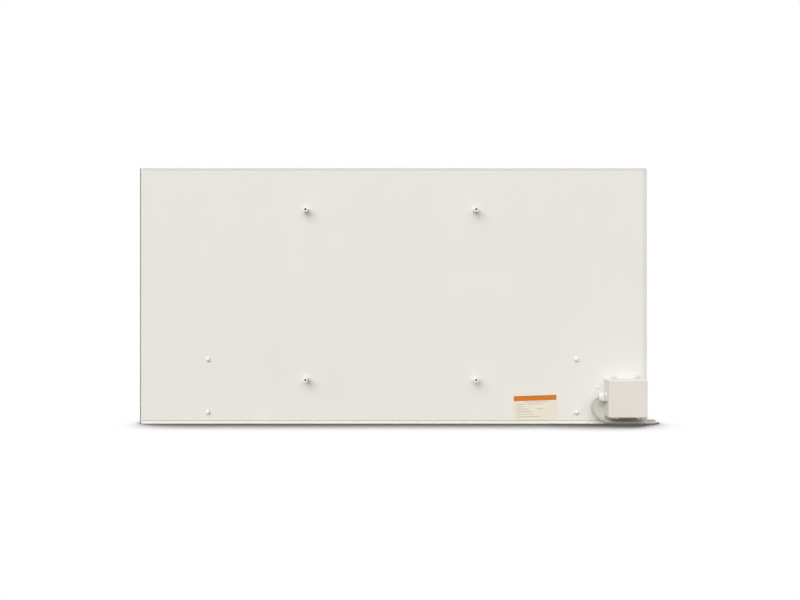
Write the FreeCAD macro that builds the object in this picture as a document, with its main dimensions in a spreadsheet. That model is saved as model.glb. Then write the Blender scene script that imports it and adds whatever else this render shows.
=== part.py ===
import FreeCAD, Part
import math
import os
from types import SimpleNamespace

import Sketcher

Vector = FreeCAD.Vector

# A flat infrared panel heater, standing on its lower edge.
# X runs along the panel, Y from the connection box on the rear to the radiating face, Z up.
# The origin is the middle of the lower edge of the whole heater, without its flex.

# Driving sizes in millimetres, and degrees for label_tilt.
SIZES = {
    # frame and sheets
    "panel_width": 1200,
    "panel_height": 605,
    "frame_depth": 21,
    "frame_wall": 1.4,
    "frame_lip": 6.5,
    "rear_rise": 1,
    "rear_sheet": 1,
    "rear_bend": 1.6,
    "front_sheet": 1.5,
    "film_thickness": 0.6,
    "strip_thickness": 0.4,
    "strip_width": 12,
    "strip_margin": 10,
    "mica_thickness": 0.5,
    "foil_thickness": 0.3,
    "core_inset": 8,
    "sheet_gap": 0.6,
    "field_gap": 0.15,
    "slip": 0.1,
    # corner keys and their screws
    "key_arm": 40,
    "corner_shank": 1.4,
    "corner_head": 2.8,
    "corner_length": 6,
    "corner_socket": 1.2,
    "socket_depth": 0.8,
    # wall posts
    "post_spacing_x": 400,
    "post_spacing_z": 400,
    "post_shift_left": 6,
    "post_shift_up": 2.5,
    "post_radius": 6,
    "post_reach": 24,
    "post_bore": 2.5,
    "post_bore_depth": 20,
    "post_edge": 0.6,
    "post_head_radius": 9,
    "post_head": 1.5,
    "plate_side": 60,
    "plate_thickness": 1.5,
    # foot points
    "foot_spacing_x": 872,
    "foot_shift_left": 3,
    "foot_low": 27,
    "foot_rise": 125,
    "foot_nut_flange": 1,
    "foot_nut_flange_radius": 5,
    "foot_nut_radius": 3.5,
    "foot_nut_bulge": 4.6,
    "foot_nut_bulge_length": 2.5,
    "foot_nut_length": 12,
    "foot_nut_bore": 2.3,
    "cap_radius": 4.7,
    "cap_height": 3.6,
    "cap_round": 3,
    "cap_stem": 8,
    # rating label
    "label_width": 104,
    "label_height": 59,
    "label_thickness": 0.2,
    "label_from_right": 264.4,
    "label_z": 38.5,
    "label_tilt": 2,
    # connection box
    "box_width": 90,
    "box_height": 88,
    "box_depth": 46,
    "box_right_gap": 12,
    "box_floor_gap": 19.5,
    "box_wall": 2.2,
    "box_base": 2,
    "box_round": 3,
    "lid_thickness": 3,
    "lid_round": 2.8,
    "lid_rim": 4,
    "lid_rim_wall": 1.6,
    "lug_side": 9,
    "lug_depth": 8,
    "lug_spacing": 50,
    "ear_spacing": 55,
    "ear_shift_right": 6,
    "ear_width": 12,
    "ear_height": 8.5,
    "ear_thickness": 2.5,
    "ear_hole_out": 4,
    "pan_shank": 1.5,
    "pan_head_radius": 3.2,
    "pan_head": 2,
    "pan_length": 6.5,
    # grommet between the box and the panel
    "grommet_from_right": 16,
    "grommet_height": 44.5,
    "grommet_sleeve": 6,
    "grommet_bore": 4.4,
    "grommet_flange_radius": 8,
    "grommet_flange": 0.8,
    # terminals and earth point in the box
    "block_from_left": 35,
    "block_length": 20,
    "block_height": 14,
    "block_end": 6,
    "block_middle": 44.5,
    "pole_pitch": 12,
    "pole_gap": 2,
    "pole_gap_depth": 5,
    "sleeve_level": 7,
    "sleeve_radius": 2.75,
    "sleeve_bore": 1.75,
    "sleeve_inset": 2,
    "terminal_shank": 1.5,
    "terminal_sunk": 1,
    "terminal_inset": 5,
    "wire_radius": 1.1,
    "earth_from_right": 22,
    "earth_height": 16.5,
    "stud_radius": 2,
    "stud_reach": 13,
    "stud_head_radius": 4,
    "stud_head": 1.2,
    "earth_nut_flats": 7,
    "earth_nut_thickness": 3.2,
    "lug_ring_radius": 4.6,
    "lug_ring": 0.8,
    "lug_barrel_radius": 1.6,
    "lug_barrel": 5.6,
    # thermal cut-out
    "rivet_from_box": 15,
    "rivet_height": 65.5,
    "rivet_shank": 1.6,
    "rivet_head_radius": 3,
    "rivet_head": 1.5,
    "rivet_round": 1.2,
    "rivet_tail_radius": 2.5,
    "bracket_length": 44,
    "bracket_width": 12,
    "bracket_thickness": 0.8,
    "bracket_lead": 7,
    "cutout_radius": 8,
    "cutout_height": 6.2,
    "cutout_cap_radius": 6.5,
    "cutout_cap": 2.8,
    "cutout_from_rivet": 25,
    "blade_width": 6,
    "blade_length": 8,
    "blade_thickness": 0.8,
    "blade_level": 2.2,
    "wool_clearance": 1.5,
    "wiring_room": 3.4,
    # wire ends on the busbars
    "live_pad_from_right": 200,
    "neutral_pad_from_right": 25,
    "pad_hole": 2,
    "board_pad_hole": 5.6,
    # cable gland
    "gland_depth": 22,
    "gland_height": 45,
    "gland_flats": 22,
    "gland_hex": 4.5,
    "gland_thread": 7.5,
    "gland_thread_out": 9.5,
    "gland_thread_in": 10,
    "gland_bore": 4.2,
    "seal_radius": 6,
    "seal_length": 6,
    "locknut_thickness": 4,
    "washer_thickness": 1.2,
    "washer_radius": 7,
    "run_gap": 0.3,
    "nut_gap": 1.6,
    "nut_hex": 5.4,
    "nut_end": 2.6,
    "nut_radius": 10.4,
    "nut_mouth": 4.8,
    "nut_dome": 3.5,
    "nut_thread_gap": 0.4,
    # flex, its coil and tie
    "flex_radius": 3.3,
    "flex_strip": 12,
    "coil_radius": 48,
    "coil_pitch": 7.2,
    "tie_width": 5,
    "tie_thickness": 0.6,
    "tie_gap": 0.3,
    "tie_round": 2.5,
    "tie_head": 4,
    "tie_head_side": 7,
    # mains plug
    "plug_radius": 18.8,
    "plug_length": 24,
    "plug_edge": 1.5,
    "plug_shoulder": 12,
    "plug_neck_radius": 7.5,
    "plug_relief": 30,
    "plug_relief_end": 4.6,
    "relief_groove": 2.2,
    "relief_groove_depth": 0.9,
    "relief_pitch": 5,
    "plug_grip_depth": 3,
    "plug_grip_length": 16,
    "pin_radius": 2.4,
    "pin_length": 19,
    "pin_spacing": 19,
    "pin_round": 1.6,
    "clip_width": 6,
    "clip_length": 16,
    "clip_thickness": 0.8,
    "clip_sunk": 1.6,
}

COIL_TURNS_IN = 3
RELIEF_GROOVES = 5
AXES = "xyz"
NEAR = 1e-4

# The flex's free route, point by point: out of the gland, down to the floor, along the panel's lower edge,
# round its right-hand end and back to the coil behind it.
LEAD_ROUTE = [
    (483.7, -10, 64.5),
    (476.4, -10, 64.5),
    (470.8, -9.8, 60.8),
    (466.6, -9.2, 53.6),
    (464.8, -8.2, 43.6),
    (467.7, -6.4, 31.3),
    (476.4, -3.8, 18.9),
    (491.5, -0.8, 9.2),
    (512.4, 2, 3.8),
    (548, 3.4, 3.3),
    (576, 4, 3.3),
    (613, 3.1, 3.3),
    (624.1, 11.2, 3.3),
    (628.4, 24.3, 3.3),
    (624.1, 37.4, 3.3),
    (613, 45.5, 3.3),
    (590, 46, 3.4),
    (565, 42.5, 4),
    (540, 42.5, 4),
]

# From the coil's upper layer to the plug, which lies on the floor beside it.
TAIL_ROUTE = [
    (526.8, 42.5, 11.2),
    (507, 42.5, 11.2),
    (483.5, 49.5, 14.6),
    (460, 56, 18.8),
    (441, 56, 18.8),
]


# How far the wires inside reach, and their bends, from the lower left corner of the box.
WIRE_GRIP = 7
WIRE_OUT = 14
EARTH_OUT = 12
CORE_OUT = 7
CORE_RING = 1.6
BLOCK_ENTRY = 4
GROMMET_APART = 1.4
LIVE_BENDS = [(47, 52.5), (2, 98.5)]
FILM_BEND = 28.5
NEUTRAL_FROM_EDGE = 16
NEUTRAL_BEND = 64.5
NEUTRAL_TOP_BEND = 24
EARTH_DROP = 4


class Size:
    """A length that carries its number and the expression on the sheet that gives it."""

    def __init__(self, number, text):
        self.number = number
        self.text = text

    def __add__(self, other):
        other = as_size(other)
        return Size(self.number + other.number, f"({self.text} + {other.text})")

    def __sub__(self, other):
        other = as_size(other)
        return Size(self.number - other.number, f"({self.text} - {other.text})")

    def __mul__(self, other):
        other = as_size(other)
        return Size(self.number * other.number, f"({self.text} * {other.text})")

    def __truediv__(self, other):
        other = as_size(other)
        return Size(self.number / other.number, f"({self.text} / {other.text})")

    def __radd__(self, other):
        return as_size(other) + self

    def __rsub__(self, other):
        return as_size(other) - self

    def __rmul__(self, other):
        return as_size(other) * self

    def __neg__(self):
        return -1 * self


def as_size(length):
    return length if isinstance(length, Size) else Size(length, str(length))


doc = FreeCAD.newDocument("panel_heater")
sheet = doc.addObject("Spreadsheet::Sheet", "sizes")
for row, (alias, number) in enumerate(SIZES.items(), start=1):
    sheet.set(f"A{row}", alias)
    sheet.set(f"B{row}", str(number))
    sheet.setAlias(f"B{row}", alias)
doc.recompute()
dim = SimpleNamespace(**{alias: Size(number, f"sizes.{alias}") for alias, number in SIZES.items()})
nodes = {}

# Planes of the panel, from the radiating face to the lid of the box.
half_width = dim.panel_width / 2
front_face = (dim.frame_depth + dim.rear_rise + dim.box_depth) / 2
plate_front = front_face - dim.frame_wall
plate_back = plate_front - dim.front_sheet
film_back = plate_back - dim.film_thickness
strip_back = film_back - dim.strip_thickness
mica_back = strip_back - dim.mica_thickness
foil_back = mica_back - dim.foil_thickness
lip_back = front_face - dim.frame_depth
frame_middle = front_face - dim.frame_depth / 2
flange_back = lip_back + dim.frame_wall
flange_front = flange_back + dim.rear_sheet
rear_face = lip_back - dim.rear_rise
pan_inner = rear_face + dim.rear_sheet
board_back = pan_inner + dim.wiring_room
box_face = rear_face - dim.box_depth
lid_back = box_face + dim.lid_thickness
base_inner = rear_face - dim.box_base
ear_face = rear_face - dim.ear_thickness
wire_level = pan_inner + dim.blade_level

# The box, its gland and what is in it.
box_right = half_width - dim.box_right_gap
box_left = box_right - dim.box_width
box_bottom = dim.box_floor_gap
box_top = box_bottom + dim.box_height
box_middle = (box_left + box_right) / 2
gland_y = rear_face - dim.gland_depth
gland_z = box_bottom + dim.gland_height
gland_face = box_left - dim.gland_hex
thread_end = gland_face - dim.gland_thread_out
washer_inner = thread_end - dim.run_gap
washer_outer = washer_inner - dim.washer_thickness
nut_step = washer_outer - dim.run_gap
nut_front = nut_step - dim.nut_end
flex_end = box_left + dim.gland_thread_in + dim.flex_strip / 2
grommet_x = box_right - dim.grommet_from_right
grommet_z = box_bottom + dim.grommet_height
block_left = box_left + dim.block_from_left
block_right = block_left + dim.block_length
block_z = box_bottom + dim.block_middle
sleeve_y = base_inner - dim.sleeve_level
earth_x = box_right - dim.earth_from_right
earth_z = box_bottom + dim.earth_height
rivet_x = box_left - dim.rivet_from_box
rivet_z = box_bottom + dim.rivet_height
cutout_x = rivet_x - dim.cutout_from_rivet
live_pad_x = half_width - dim.live_pad_from_right
neutral_pad_x = half_width - dim.neutral_pad_from_right
live_strip_z = dim.core_inset + dim.strip_margin + dim.strip_width / 2
neutral_strip_z = dim.panel_height - live_strip_z

POST_PLACES = {
    f"{end}_{side}": (
        hand * dim.post_spacing_x / 2 - dim.post_shift_left,
        dim.panel_height / 2 + dim.post_shift_up + up * dim.post_spacing_z / 2,
    )
    for end, up in (("lower", -1), ("upper", 1))
    for side, hand in (("left", -1), ("right", 1))
}
FOOT_PLACES = [
    (hand * dim.foot_spacing_x / 2 - dim.foot_shift_left, dim.foot_low + rise)
    for hand in (-1, 1)
    for rise in (0, dim.foot_rise)
]
EAR_PLACES = [
    (box_middle + dim.ear_shift_right + hand * dim.ear_spacing / 2, edge, up)
    for hand in (-1, 1)
    for edge, up in ((box_bottom, -1), (box_top, 1))
]
POLES = {"live": block_z + dim.pole_pitch, "neutral": block_z, "earth": block_z - dim.pole_pitch}
TURN_TO = {
    "x": FreeCAD.Rotation(Vector(0, 1, 0), 90),
    "y": FreeCAD.Rotation(Vector(1, 0, 0), -90),
    "z": FreeCAD.Rotation(),
}
ORIGIN_PLANES = {"xy": ("XY_Plane", 1), "xz": ("XZ_Plane", -1), "yz": ("YZ_Plane", 1)}


def tie(thing, path, length):
    """Bind one property of an object to sizes on the sheet."""
    thing.setExpression(path, as_size(length).text)


def node(name, thing):
    thing.Label = name
    nodes[name] = thing
    return thing


def place_along(thing, axis, start, centre):
    """Turn an object's own Z to one axis, and set where it starts and its other two coordinates."""
    thing.Placement = FreeCAD.Placement(Vector(), TURN_TO[axis])
    tie(thing, f"Placement.Base.{axis}", start)
    for letter, place in zip([letter for letter in AXES if letter != axis], centre):
        tie(thing, f"Placement.Base.{letter}", place)


def block(name, *spans):
    """A box from its spans along X, Y and Z."""
    box = doc.addObject("Part::Box", name)
    for letter, side, (low, high) in zip(AXES, ("Length", "Width", "Height"), spans):
        tie(box, side, as_size(high) - low)
        tie(box, f"Placement.Base.{letter}", low)
    return box


def rod(name, axis, span, centre, radius):
    cylinder = doc.addObject("Part::Cylinder", name)
    tie(cylinder, "Radius", radius)
    tie(cylinder, "Height", as_size(span[1]) - span[0])
    place_along(cylinder, axis, span[0], centre)
    return cylinder


def hexagon(name, axis, span, centre, flats):
    prism = doc.addObject("Part::Prism", name)
    prism.Polygon = 6
    tie(prism, "Circumradius", flats / (2 * math.cos(math.radians(30))))
    tie(prism, "Height", as_size(span[1]) - span[0])
    place_along(prism, axis, span[0], centre)
    return prism


def inward(edge, way, near, far):
    """The span from near to far behind a face, where way is the sign of going in."""
    return (edge + near, edge + far) if way > 0 else (edge - far, edge - near)


def taper(name, axis, edge, way, depth, centre, outer, inner):
    """A cone that narrows from a face inwards."""
    cone = doc.addObject("Part::Cone", name)
    tie(cone, "Radius1", outer if way > 0 else inner)
    tie(cone, "Radius2", inner if way > 0 else outer)
    tie(cone, "Height", depth)
    place_along(cone, axis, inward(edge, way, 0, depth)[0], centre)
    return cone


def fuse(name, *pieces):
    joined = doc.addObject("Part::MultiFuse", name)
    joined.Shapes = list(pieces)
    joined.Refine = True
    return joined


def cut(name, base, *tools):
    result = doc.addObject("Part::Cut", name)
    result.Base = base
    result.Tool = tools[0] if len(tools) == 1 else fuse(f"{name}_tools", *tools)
    return result


def group(name, pieces):
    """Like pieces that share a node, as separate solids."""
    together = doc.addObject("Part::Compound", name)
    together.Links = list(pieces)
    return together


def new_body(name):
    return doc.addObject("PartDesign::Body", name)


def draw_polygon(drawing, points):
    first = drawing.GeometryCount
    count = len(points)
    corners = [Vector(as_size(u).number, as_size(v).number, 0) for u, v in points]
    for index in range(count):
        line = Part.LineSegment(corners[index], corners[(index + 1) % count])
        drawing.addGeometry(line, False)
    for index in range(count):
        following = first + (index + 1) % count
        drawing.addConstraint(Sketcher.Constraint("Coincident", first + index, 2, following, 1))
    for index, (u, v) in enumerate(points):
        fix_point(drawing, first + index, 1, u, v)


def draw_circle(drawing, u, v, radius):
    centre = Vector(as_size(u).number, as_size(v).number, 0)
    index = drawing.addGeometry(Part.Circle(centre, Vector(0, 0, 1), radius.number), False)
    fix_point(drawing, index, 3, u, v)
    constraint = drawing.addConstraint(Sketcher.Constraint("Radius", index, radius.number))
    drawing.renameConstraint(constraint, f"radius{index}")
    tie(drawing, f"Constraints.radius{index}", radius)


def fix_point(drawing, index, end, u, v):
    """Hold one point of a sketch at its distances from the sketch's origin."""
    for kind, letter, length in (("DistanceX", "u", as_size(u)), ("DistanceY", "v", as_size(v))):
        constraint = drawing.addConstraint(Sketcher.Constraint(kind, -1, 1, index, end, length.number))
        drawing.renameConstraint(constraint, f"{letter}{index}")
        tie(drawing, f"Constraints.{letter}{index}", length)


def sketch(body, plane, level, outlines):
    """A sketch of polygons (lists of points) and circles (centre and radius) on one level of a plane."""
    role, sign = ORIGIN_PLANES[plane]
    drawing = body.newObject("Sketcher::SketchObject", f"{body.Name}_sketch")
    support = next(feature for feature in body.Origin.OriginFeatures if feature.Role == role)
    drawing.AttachmentSupport = [(support, "")]
    drawing.MapMode = "FlatFace"
    tie(drawing, "AttachmentOffset.Base.z", sign * as_size(level))
    for outline in outlines:
        if isinstance(outline, list):
            draw_polygon(drawing, outline)
        else:
            draw_circle(drawing, *outline)
    return drawing


def pad(body, plane, span, *outlines):
    """Fill outlines from the low to the high end of a span along the plane's normal."""
    level = span[1] if plane == "xz" else span[0]
    feature = body.newObject("PartDesign::Pad", f"{body.Name}_pad")
    feature.Profile = sketch(body, plane, level, outlines)
    tie(feature, "Length", as_size(span[1]) - span[0])


def pocket(body, plane, span, *outlines):
    """Cut outlines over a span along the plane's normal."""
    level = span[0] if plane == "xz" else span[1]
    feature = body.newObject("PartDesign::Pocket", f"{body.Name}_pocket")
    feature.Profile = sketch(body, plane, level, outlines)
    tie(feature, "Length", as_size(span[1]) - span[0])


def fillet(body, radius, chosen):
    """Round the edges of a body that a test picks."""
    doc.recompute()
    base = body.Tip
    edges = [f"Edge{index}" for index, edge in enumerate(base.Shape.Edges, start=1) if chosen(edge)]
    feature = body.newObject("PartDesign::Fillet", f"{body.Name}_fillet")
    feature.Base = (base, edges)
    tie(feature, "Radius", radius)


def lies_at(letter, level):
    """A test for edges that lie wholly at one coordinate."""
    place = AXES.index(letter)
    height = as_size(level).number
    return lambda edge: all(abs(vertex.Point[place] - height) < NEAR for vertex in edge.Vertexes)


def runs_along(letter):
    """A test for straight edges along one axis."""
    place = AXES.index(letter)

    def test(edge):
        ends = [vertex.Point for vertex in edge.Vertexes]
        if len(ends) != 2 or not isinstance(edge.Curve, Part.Line):
            return False
        return abs(abs((ends[1] - ends[0])[place]) - edge.Length) < NEAR

    return test


def turned(name, axis, start, centre, outline):
    """A piece turned about one axis: its outline lists radius and distance from the start."""
    body = new_body(name)
    drawing = sketch(body, "xz", 0, [outline])
    feature = body.newObject("PartDesign::Revolution", f"{name}_turn")
    feature.Profile = drawing
    feature.ReferenceAxis = (drawing, ["V_Axis"])
    feature.Angle = 360
    place_along(body, axis, start, centre)
    return body


def rectangle(left, right, low, high):
    return [(left, low), (right, low), (right, high), (left, high)]


def inset_rectangle(gap):
    """The box's outline, drawn in by a gap."""
    return rectangle(box_left + gap, box_right - gap, box_bottom + gap, box_top - gap)


def panel_rectangle(gap):
    """The panel's outline, drawn in by a gap."""
    return rectangle(gap - half_width, half_width - gap, as_size(gap), dim.panel_height - gap)


def rounded_path(points):
    """Straight runs joined by tangent arcs, each as large as its two runs allow, and the arcs' radii."""
    share = 0.45
    edges, radii = [], []
    start = points[0]
    for before, corner, after in zip(points, points[1:], points[2:]):
        going = (corner - before).normalize()
        leaving = (after - corner).normalize()
        half_turn = going.getAngle(leaving) / 2
        setback = share * min(corner.distanceToPoint(before), corner.distanceToPoint(after))
        radius = setback / math.tan(half_turn)
        arc_start = corner - going * setback
        arc_end = corner + leaving * setback
        bulge = radius * (1 / math.cos(half_turn) - 1)
        arc_middle = corner + (leaving - going).normalize() * bulge
        edges += [Part.LineSegment(start, arc_start), Part.Arc(arc_start, arc_middle, arc_end)]
        radii.append(radius)
        start = arc_end
    edges.append(Part.LineSegment(start, points[-1]))
    return Part.Wire([edge.toShape() for edge in edges]), radii


def tube_shape(path, start, heading, radius):
    """A round tube along a path, compared with its section times its length."""
    ring = Part.Wire([Part.makeCircle(radius, start, heading)])
    shape = path.makePipeShell([ring], True, False)
    expected = math.pi * radius ** 2 * path.Length
    if abs(shape.Volume / expected - 1) > 0.01:
        raise RuntimeError(f"tube volume {shape.Volume:.0f} is not {expected:.0f}")
    return shape


def tube(name, points, radius):
    points = [Vector(*[as_size(place).number for place in point]) for point in points]
    path, radii = rounded_path(points)
    piece = doc.addObject("Part::Feature", name)
    piece.Shape = tube_shape(path, points[0], points[1] - points[0], radius.number)
    print(f"{name}: {path.Length:.0f} mm, radii", " ".join(f"{radius:.0f}" for radius in radii))
    return node(name, piece)


# The frame: four channels, joined in the corners by keys.
def channel_outline(edge, way, low, high):
    """A channel's section: its outer edge, the way that it opens, and its two flanges."""
    web = edge + way * dim.frame_wall
    tip = edge + way * dim.frame_lip
    wall = dim.frame_wall
    return [
        (edge, low), (edge, high), (tip, high), (tip, high - wall),
        (web, high - wall), (web, low + wall), (tip, low + wall), (tip, low),
    ]


def corner_screw_seats():
    """Each corner screw's name, axis, face, way in and its other two coordinates."""
    out = dim.frame_lip + dim.key_arm / 2
    seats = []
    for side, hand in (("left", -1), ("right", 1)):
        for end, edge, way in (("bottom", as_size(0), 1), ("top", dim.panel_height, -1)):
            name = f"{end}_{side}"
            seats.append((f"{name}_side", "x", hand * half_width, -hand, (frame_middle, edge + way * out)))
            seats.append((f"{name}_end", "z", edge, way, (hand * (half_width - out), frame_middle)))
    return seats


def countersinks(name, wanted):
    """Tapered holes for the corner screws of one profile."""
    return [
        taper(f"{name}_hole_{seat}", axis, edge, way, dim.frame_wall, centre,
              dim.corner_head + dim.slip, dim.corner_shank + dim.slip)
        for seat, axis, edge, way, centre in corner_screw_seats()
        if wanted(seat)
    ]


def make_frame():
    for side, hand in (("left", -1), ("right", 1)):
        body = new_body(f"profile_{side}")
        outline = channel_outline(hand * half_width, -hand, lip_back, front_face)
        pad(body, "xy", (0, dim.panel_height), outline)
        holes = countersinks(f"frame_{side}", lambda seat: seat.endswith(f"{side}_side"))
        node(f"frame_{side}", cut(f"frame_{side}", body, *holes))
    for end, edge, way in (("bottom", as_size(0), 1), ("top", dim.panel_height, -1)):
        body = new_body(f"profile_{end}")
        reach = half_width - dim.frame_lip
        outline = [(v, u) for u, v in channel_outline(edge, way, lip_back, front_face)]
        pad(body, "yz", (-reach, reach), outline)
        holes = countersinks(f"frame_{end}", lambda seat: seat.startswith(end) and seat.endswith("_end"))
        node(f"frame_{end}", cut(f"frame_{end}", body, *holes))


def make_corner_keys():
    lip, arm = dim.frame_lip, dim.key_arm
    seat = dim.frame_wall + dim.slip
    insets = [
        (lip + arm, lip), (lip, lip), (lip, lip + arm), (seat, lip + arm),
        (seat, 0), (lip, 0), (lip, seat), (lip + arm, seat),
    ]
    for side, hand in (("left", -1), ("right", 1)):
        for end, edge, way in (("bottom", as_size(0), 1), ("top", dim.panel_height, -1)):
            body = new_body(f"key_{end}_{side}")
            outline = [(hand * (half_width - x), edge + way * z) for x, z in insets]
            pad(body, "xz", (flange_front + dim.slip, plate_back - dim.slip), outline)
            holes = [
                rod(f"key_hole_{name}", axis, inward(face, into, 0, dim.frame_lip), centre,
                    dim.corner_shank + dim.slip)
                for name, axis, face, into, centre in corner_screw_seats()
                if name.startswith(f"{end}_{side}")
            ]
            node(f"corner_key_{end}_{side}", cut(f"corner_key_{end}_{side}", body, *holes))


def make_corner_screws():
    screws = []
    for name, axis, edge, way, centre in corner_screw_seats():
        head = taper(f"screw_head_{name}", axis, edge, way, dim.frame_wall, centre,
                     dim.corner_head, dim.corner_shank)
        shank = rod(f"screw_shank_{name}", axis, inward(edge, way, dim.frame_wall, dim.corner_length), centre,
                    dim.corner_shank)
        socket = hexagon(f"screw_socket_{name}", axis, inward(edge, way, 0, dim.socket_depth), centre,
                         2 * dim.corner_socket)
        screws.append(cut(f"screw_{name}", fuse(f"screw_blank_{name}", head, shank), socket))
    node("corner_screws", group("corner_screws", screws))


# The heating sandwich between the two sheets.
def core_span(gap):
    return (gap - half_width, half_width - gap), (as_size(gap), dim.panel_height - gap)


def pad_holes(name, back, front, radius):
    """Holes for the wire ends that reach the busbars."""
    places = ((live_pad_x, live_strip_z), (neutral_pad_x, neutral_strip_z))
    return [
        rod(f"{name}_pad_hole_{index}", "y", (back, front), centre, radius)
        for index, centre in enumerate(places)
    ]


def make_heating_core():
    plate_x, plate_z = core_span(dim.frame_wall + dim.sheet_gap)
    node("front_panel", block("front_panel", plate_x, (plate_back, plate_front), plate_z))
    core_x, core_z = core_span(dim.core_inset)
    node("heating_film", block("heating_film", core_x, (film_back, plate_back), core_z))
    strip_x = core_span(dim.core_inset + dim.strip_margin)[0]
    for name, middle in (("busbar_live", live_strip_z), ("busbar_neutral", neutral_strip_z)):
        strip_z = (middle - dim.strip_width / 2, middle + dim.strip_width / 2)
        node(name, block(name, strip_x, (strip_back, film_back), strip_z))
    layers = (("mica_sheet", mica_back, strip_back), ("reflector_foil", foil_back, mica_back))
    for name, back, front in layers:
        layer = block(f"{name}_blank", core_x, (back, front), core_z)
        node(name, cut(name, layer, *pad_holes(name, back, front, dim.pad_hole)))
    board = block("board_blank", core_x, (board_back, foil_back), core_z)
    openings = pad_holes("board", board_back, foil_back, dim.board_pad_hole)
    openings += [
        rod(f"board_foot_hole_{index}", "y", (board_back, foil_back), centre,
            dim.foot_nut_bulge + dim.wool_clearance)
        for index, centre in enumerate(FOOT_PLACES)
    ]
    openings.append(rod("board_cutout_hole", "y", (board_back, foil_back), (cutout_x, rivet_z),
                        dim.cutout_radius + dim.wool_clearance))
    node("insulation_board", cut("insulation_board", board, *openings))


def make_rear_cover():
    body = new_body("cover")
    field = dim.frame_lip + dim.field_gap
    pad(body, "xz", (flange_back, flange_front), panel_rectangle(dim.frame_wall + dim.sheet_gap))
    pad(body, "xz", (rear_face, flange_back), panel_rectangle(field))
    pocket(body, "xz", (pan_inner, flange_front), panel_rectangle(field + dim.rear_sheet))
    fillet(body, dim.rear_bend, lies_at("y", rear_face))
    holes = [(x, z, dim.post_radius + dim.slip) for x, z in POST_PLACES.values()]
    holes += [(x, z, dim.foot_nut_radius + dim.slip) for x, z in FOOT_PLACES]
    holes += [(x, z + up * dim.ear_hole_out, dim.pan_shank + dim.slip) for x, z, up in EAR_PLACES]
    holes += [
        (grommet_x, grommet_z, dim.grommet_sleeve + dim.slip),
        (earth_x, earth_z, dim.stud_radius + dim.slip),
        (rivet_x, rivet_z, dim.rivet_shank + dim.slip),
    ]
    pocket(body, "xz", (rear_face, pan_inner), *holes)
    node("rear_cover", body)


# What stands on the rear cover.
def make_wall_posts():
    foot = dim.post_reach + dim.rear_sheet + dim.plate_thickness
    edge = dim.post_edge
    outline = [
        (dim.post_bore + edge, 0), (dim.post_radius - edge, 0), (dim.post_radius, edge),
        (dim.post_radius, foot), (dim.post_head_radius, foot),
        (dim.post_head_radius, foot + dim.post_head), (0, foot + dim.post_head),
        (0, dim.post_bore_depth + edge), (dim.post_bore, dim.post_bore_depth), (dim.post_bore, edge),
    ]
    plates = []
    for place, (x, z) in POST_PLACES.items():
        node(f"wall_bush_{place}", turned(f"bush_{place}", "y", rear_face - dim.post_reach, (x, z), outline))
        half = dim.plate_side / 2
        span_y = (pan_inner, pan_inner + dim.plate_thickness)
        blank = block(f"plate_blank_{place}", (x - half, x + half), span_y, (z - half, z + half))
        hole = rod(f"plate_hole_{place}", "y", span_y, (x, z), dim.post_radius + dim.slip)
        plates.append(cut(f"plate_{place}", blank, hole))
    node("bush_plates", group("bush_plates", plates))


def make_foot_points():
    flange = dim.foot_nut_flange
    bulge = flange + dim.rear_sheet
    nut_outline = [
        (dim.foot_nut_bore, 0), (dim.foot_nut_flange_radius, 0), (dim.foot_nut_flange_radius, flange),
        (dim.foot_nut_radius, flange), (dim.foot_nut_radius, bulge), (dim.foot_nut_bulge, bulge),
        (dim.foot_nut_bulge, bulge + dim.foot_nut_bulge_length),
        (dim.foot_nut_radius, bulge + dim.foot_nut_bulge_length),
        (dim.foot_nut_radius, dim.foot_nut_length), (dim.foot_nut_bore, dim.foot_nut_length),
    ]
    stem = dim.foot_nut_bore - dim.slip
    cap_outline = [
        (0, 0), (dim.cap_radius, 0), (dim.cap_radius, dim.cap_height), (stem, dim.cap_height),
        (stem, dim.cap_height + dim.cap_stem), (0, dim.cap_height + dim.cap_stem),
    ]
    nuts, caps = [], []
    for index, centre in enumerate(FOOT_PLACES):
        nuts.append(turned(f"foot_nut_{index}", "y", rear_face - flange, centre, nut_outline))
        cap = turned(f"foot_plug_{index}", "y", rear_face - flange - dim.cap_height, centre, cap_outline)
        fillet(cap, dim.cap_round, lies_at("z", 0))
        caps.append(cap)
    node("foot_nuts", group("foot_nuts", nuts))
    node("foot_plugs", group("foot_plugs", caps))


def make_label():
    body = new_body("label")
    half_across, half_up = dim.label_width / 2, dim.label_height / 2
    outline = rectangle(-half_across, half_across, -half_up, half_up)
    pad(body, "xz", (rear_face - dim.label_thickness, rear_face), outline)
    body.Placement = FreeCAD.Placement(Vector(), FreeCAD.Rotation(Vector(0, -1, 0), SIZES["label_tilt"]))
    tie(body, "Placement.Base.x", half_width - dim.label_from_right)
    tie(body, "Placement.Base.z", dim.label_z)
    tie(body, "Placement.Rotation.Angle", dim.label_tilt)
    node("rating_label", body)


# The connection box, its lid and its screws.
def lug_places():
    return [box_middle - dim.lug_spacing / 2, box_middle + dim.lug_spacing / 2]


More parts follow.
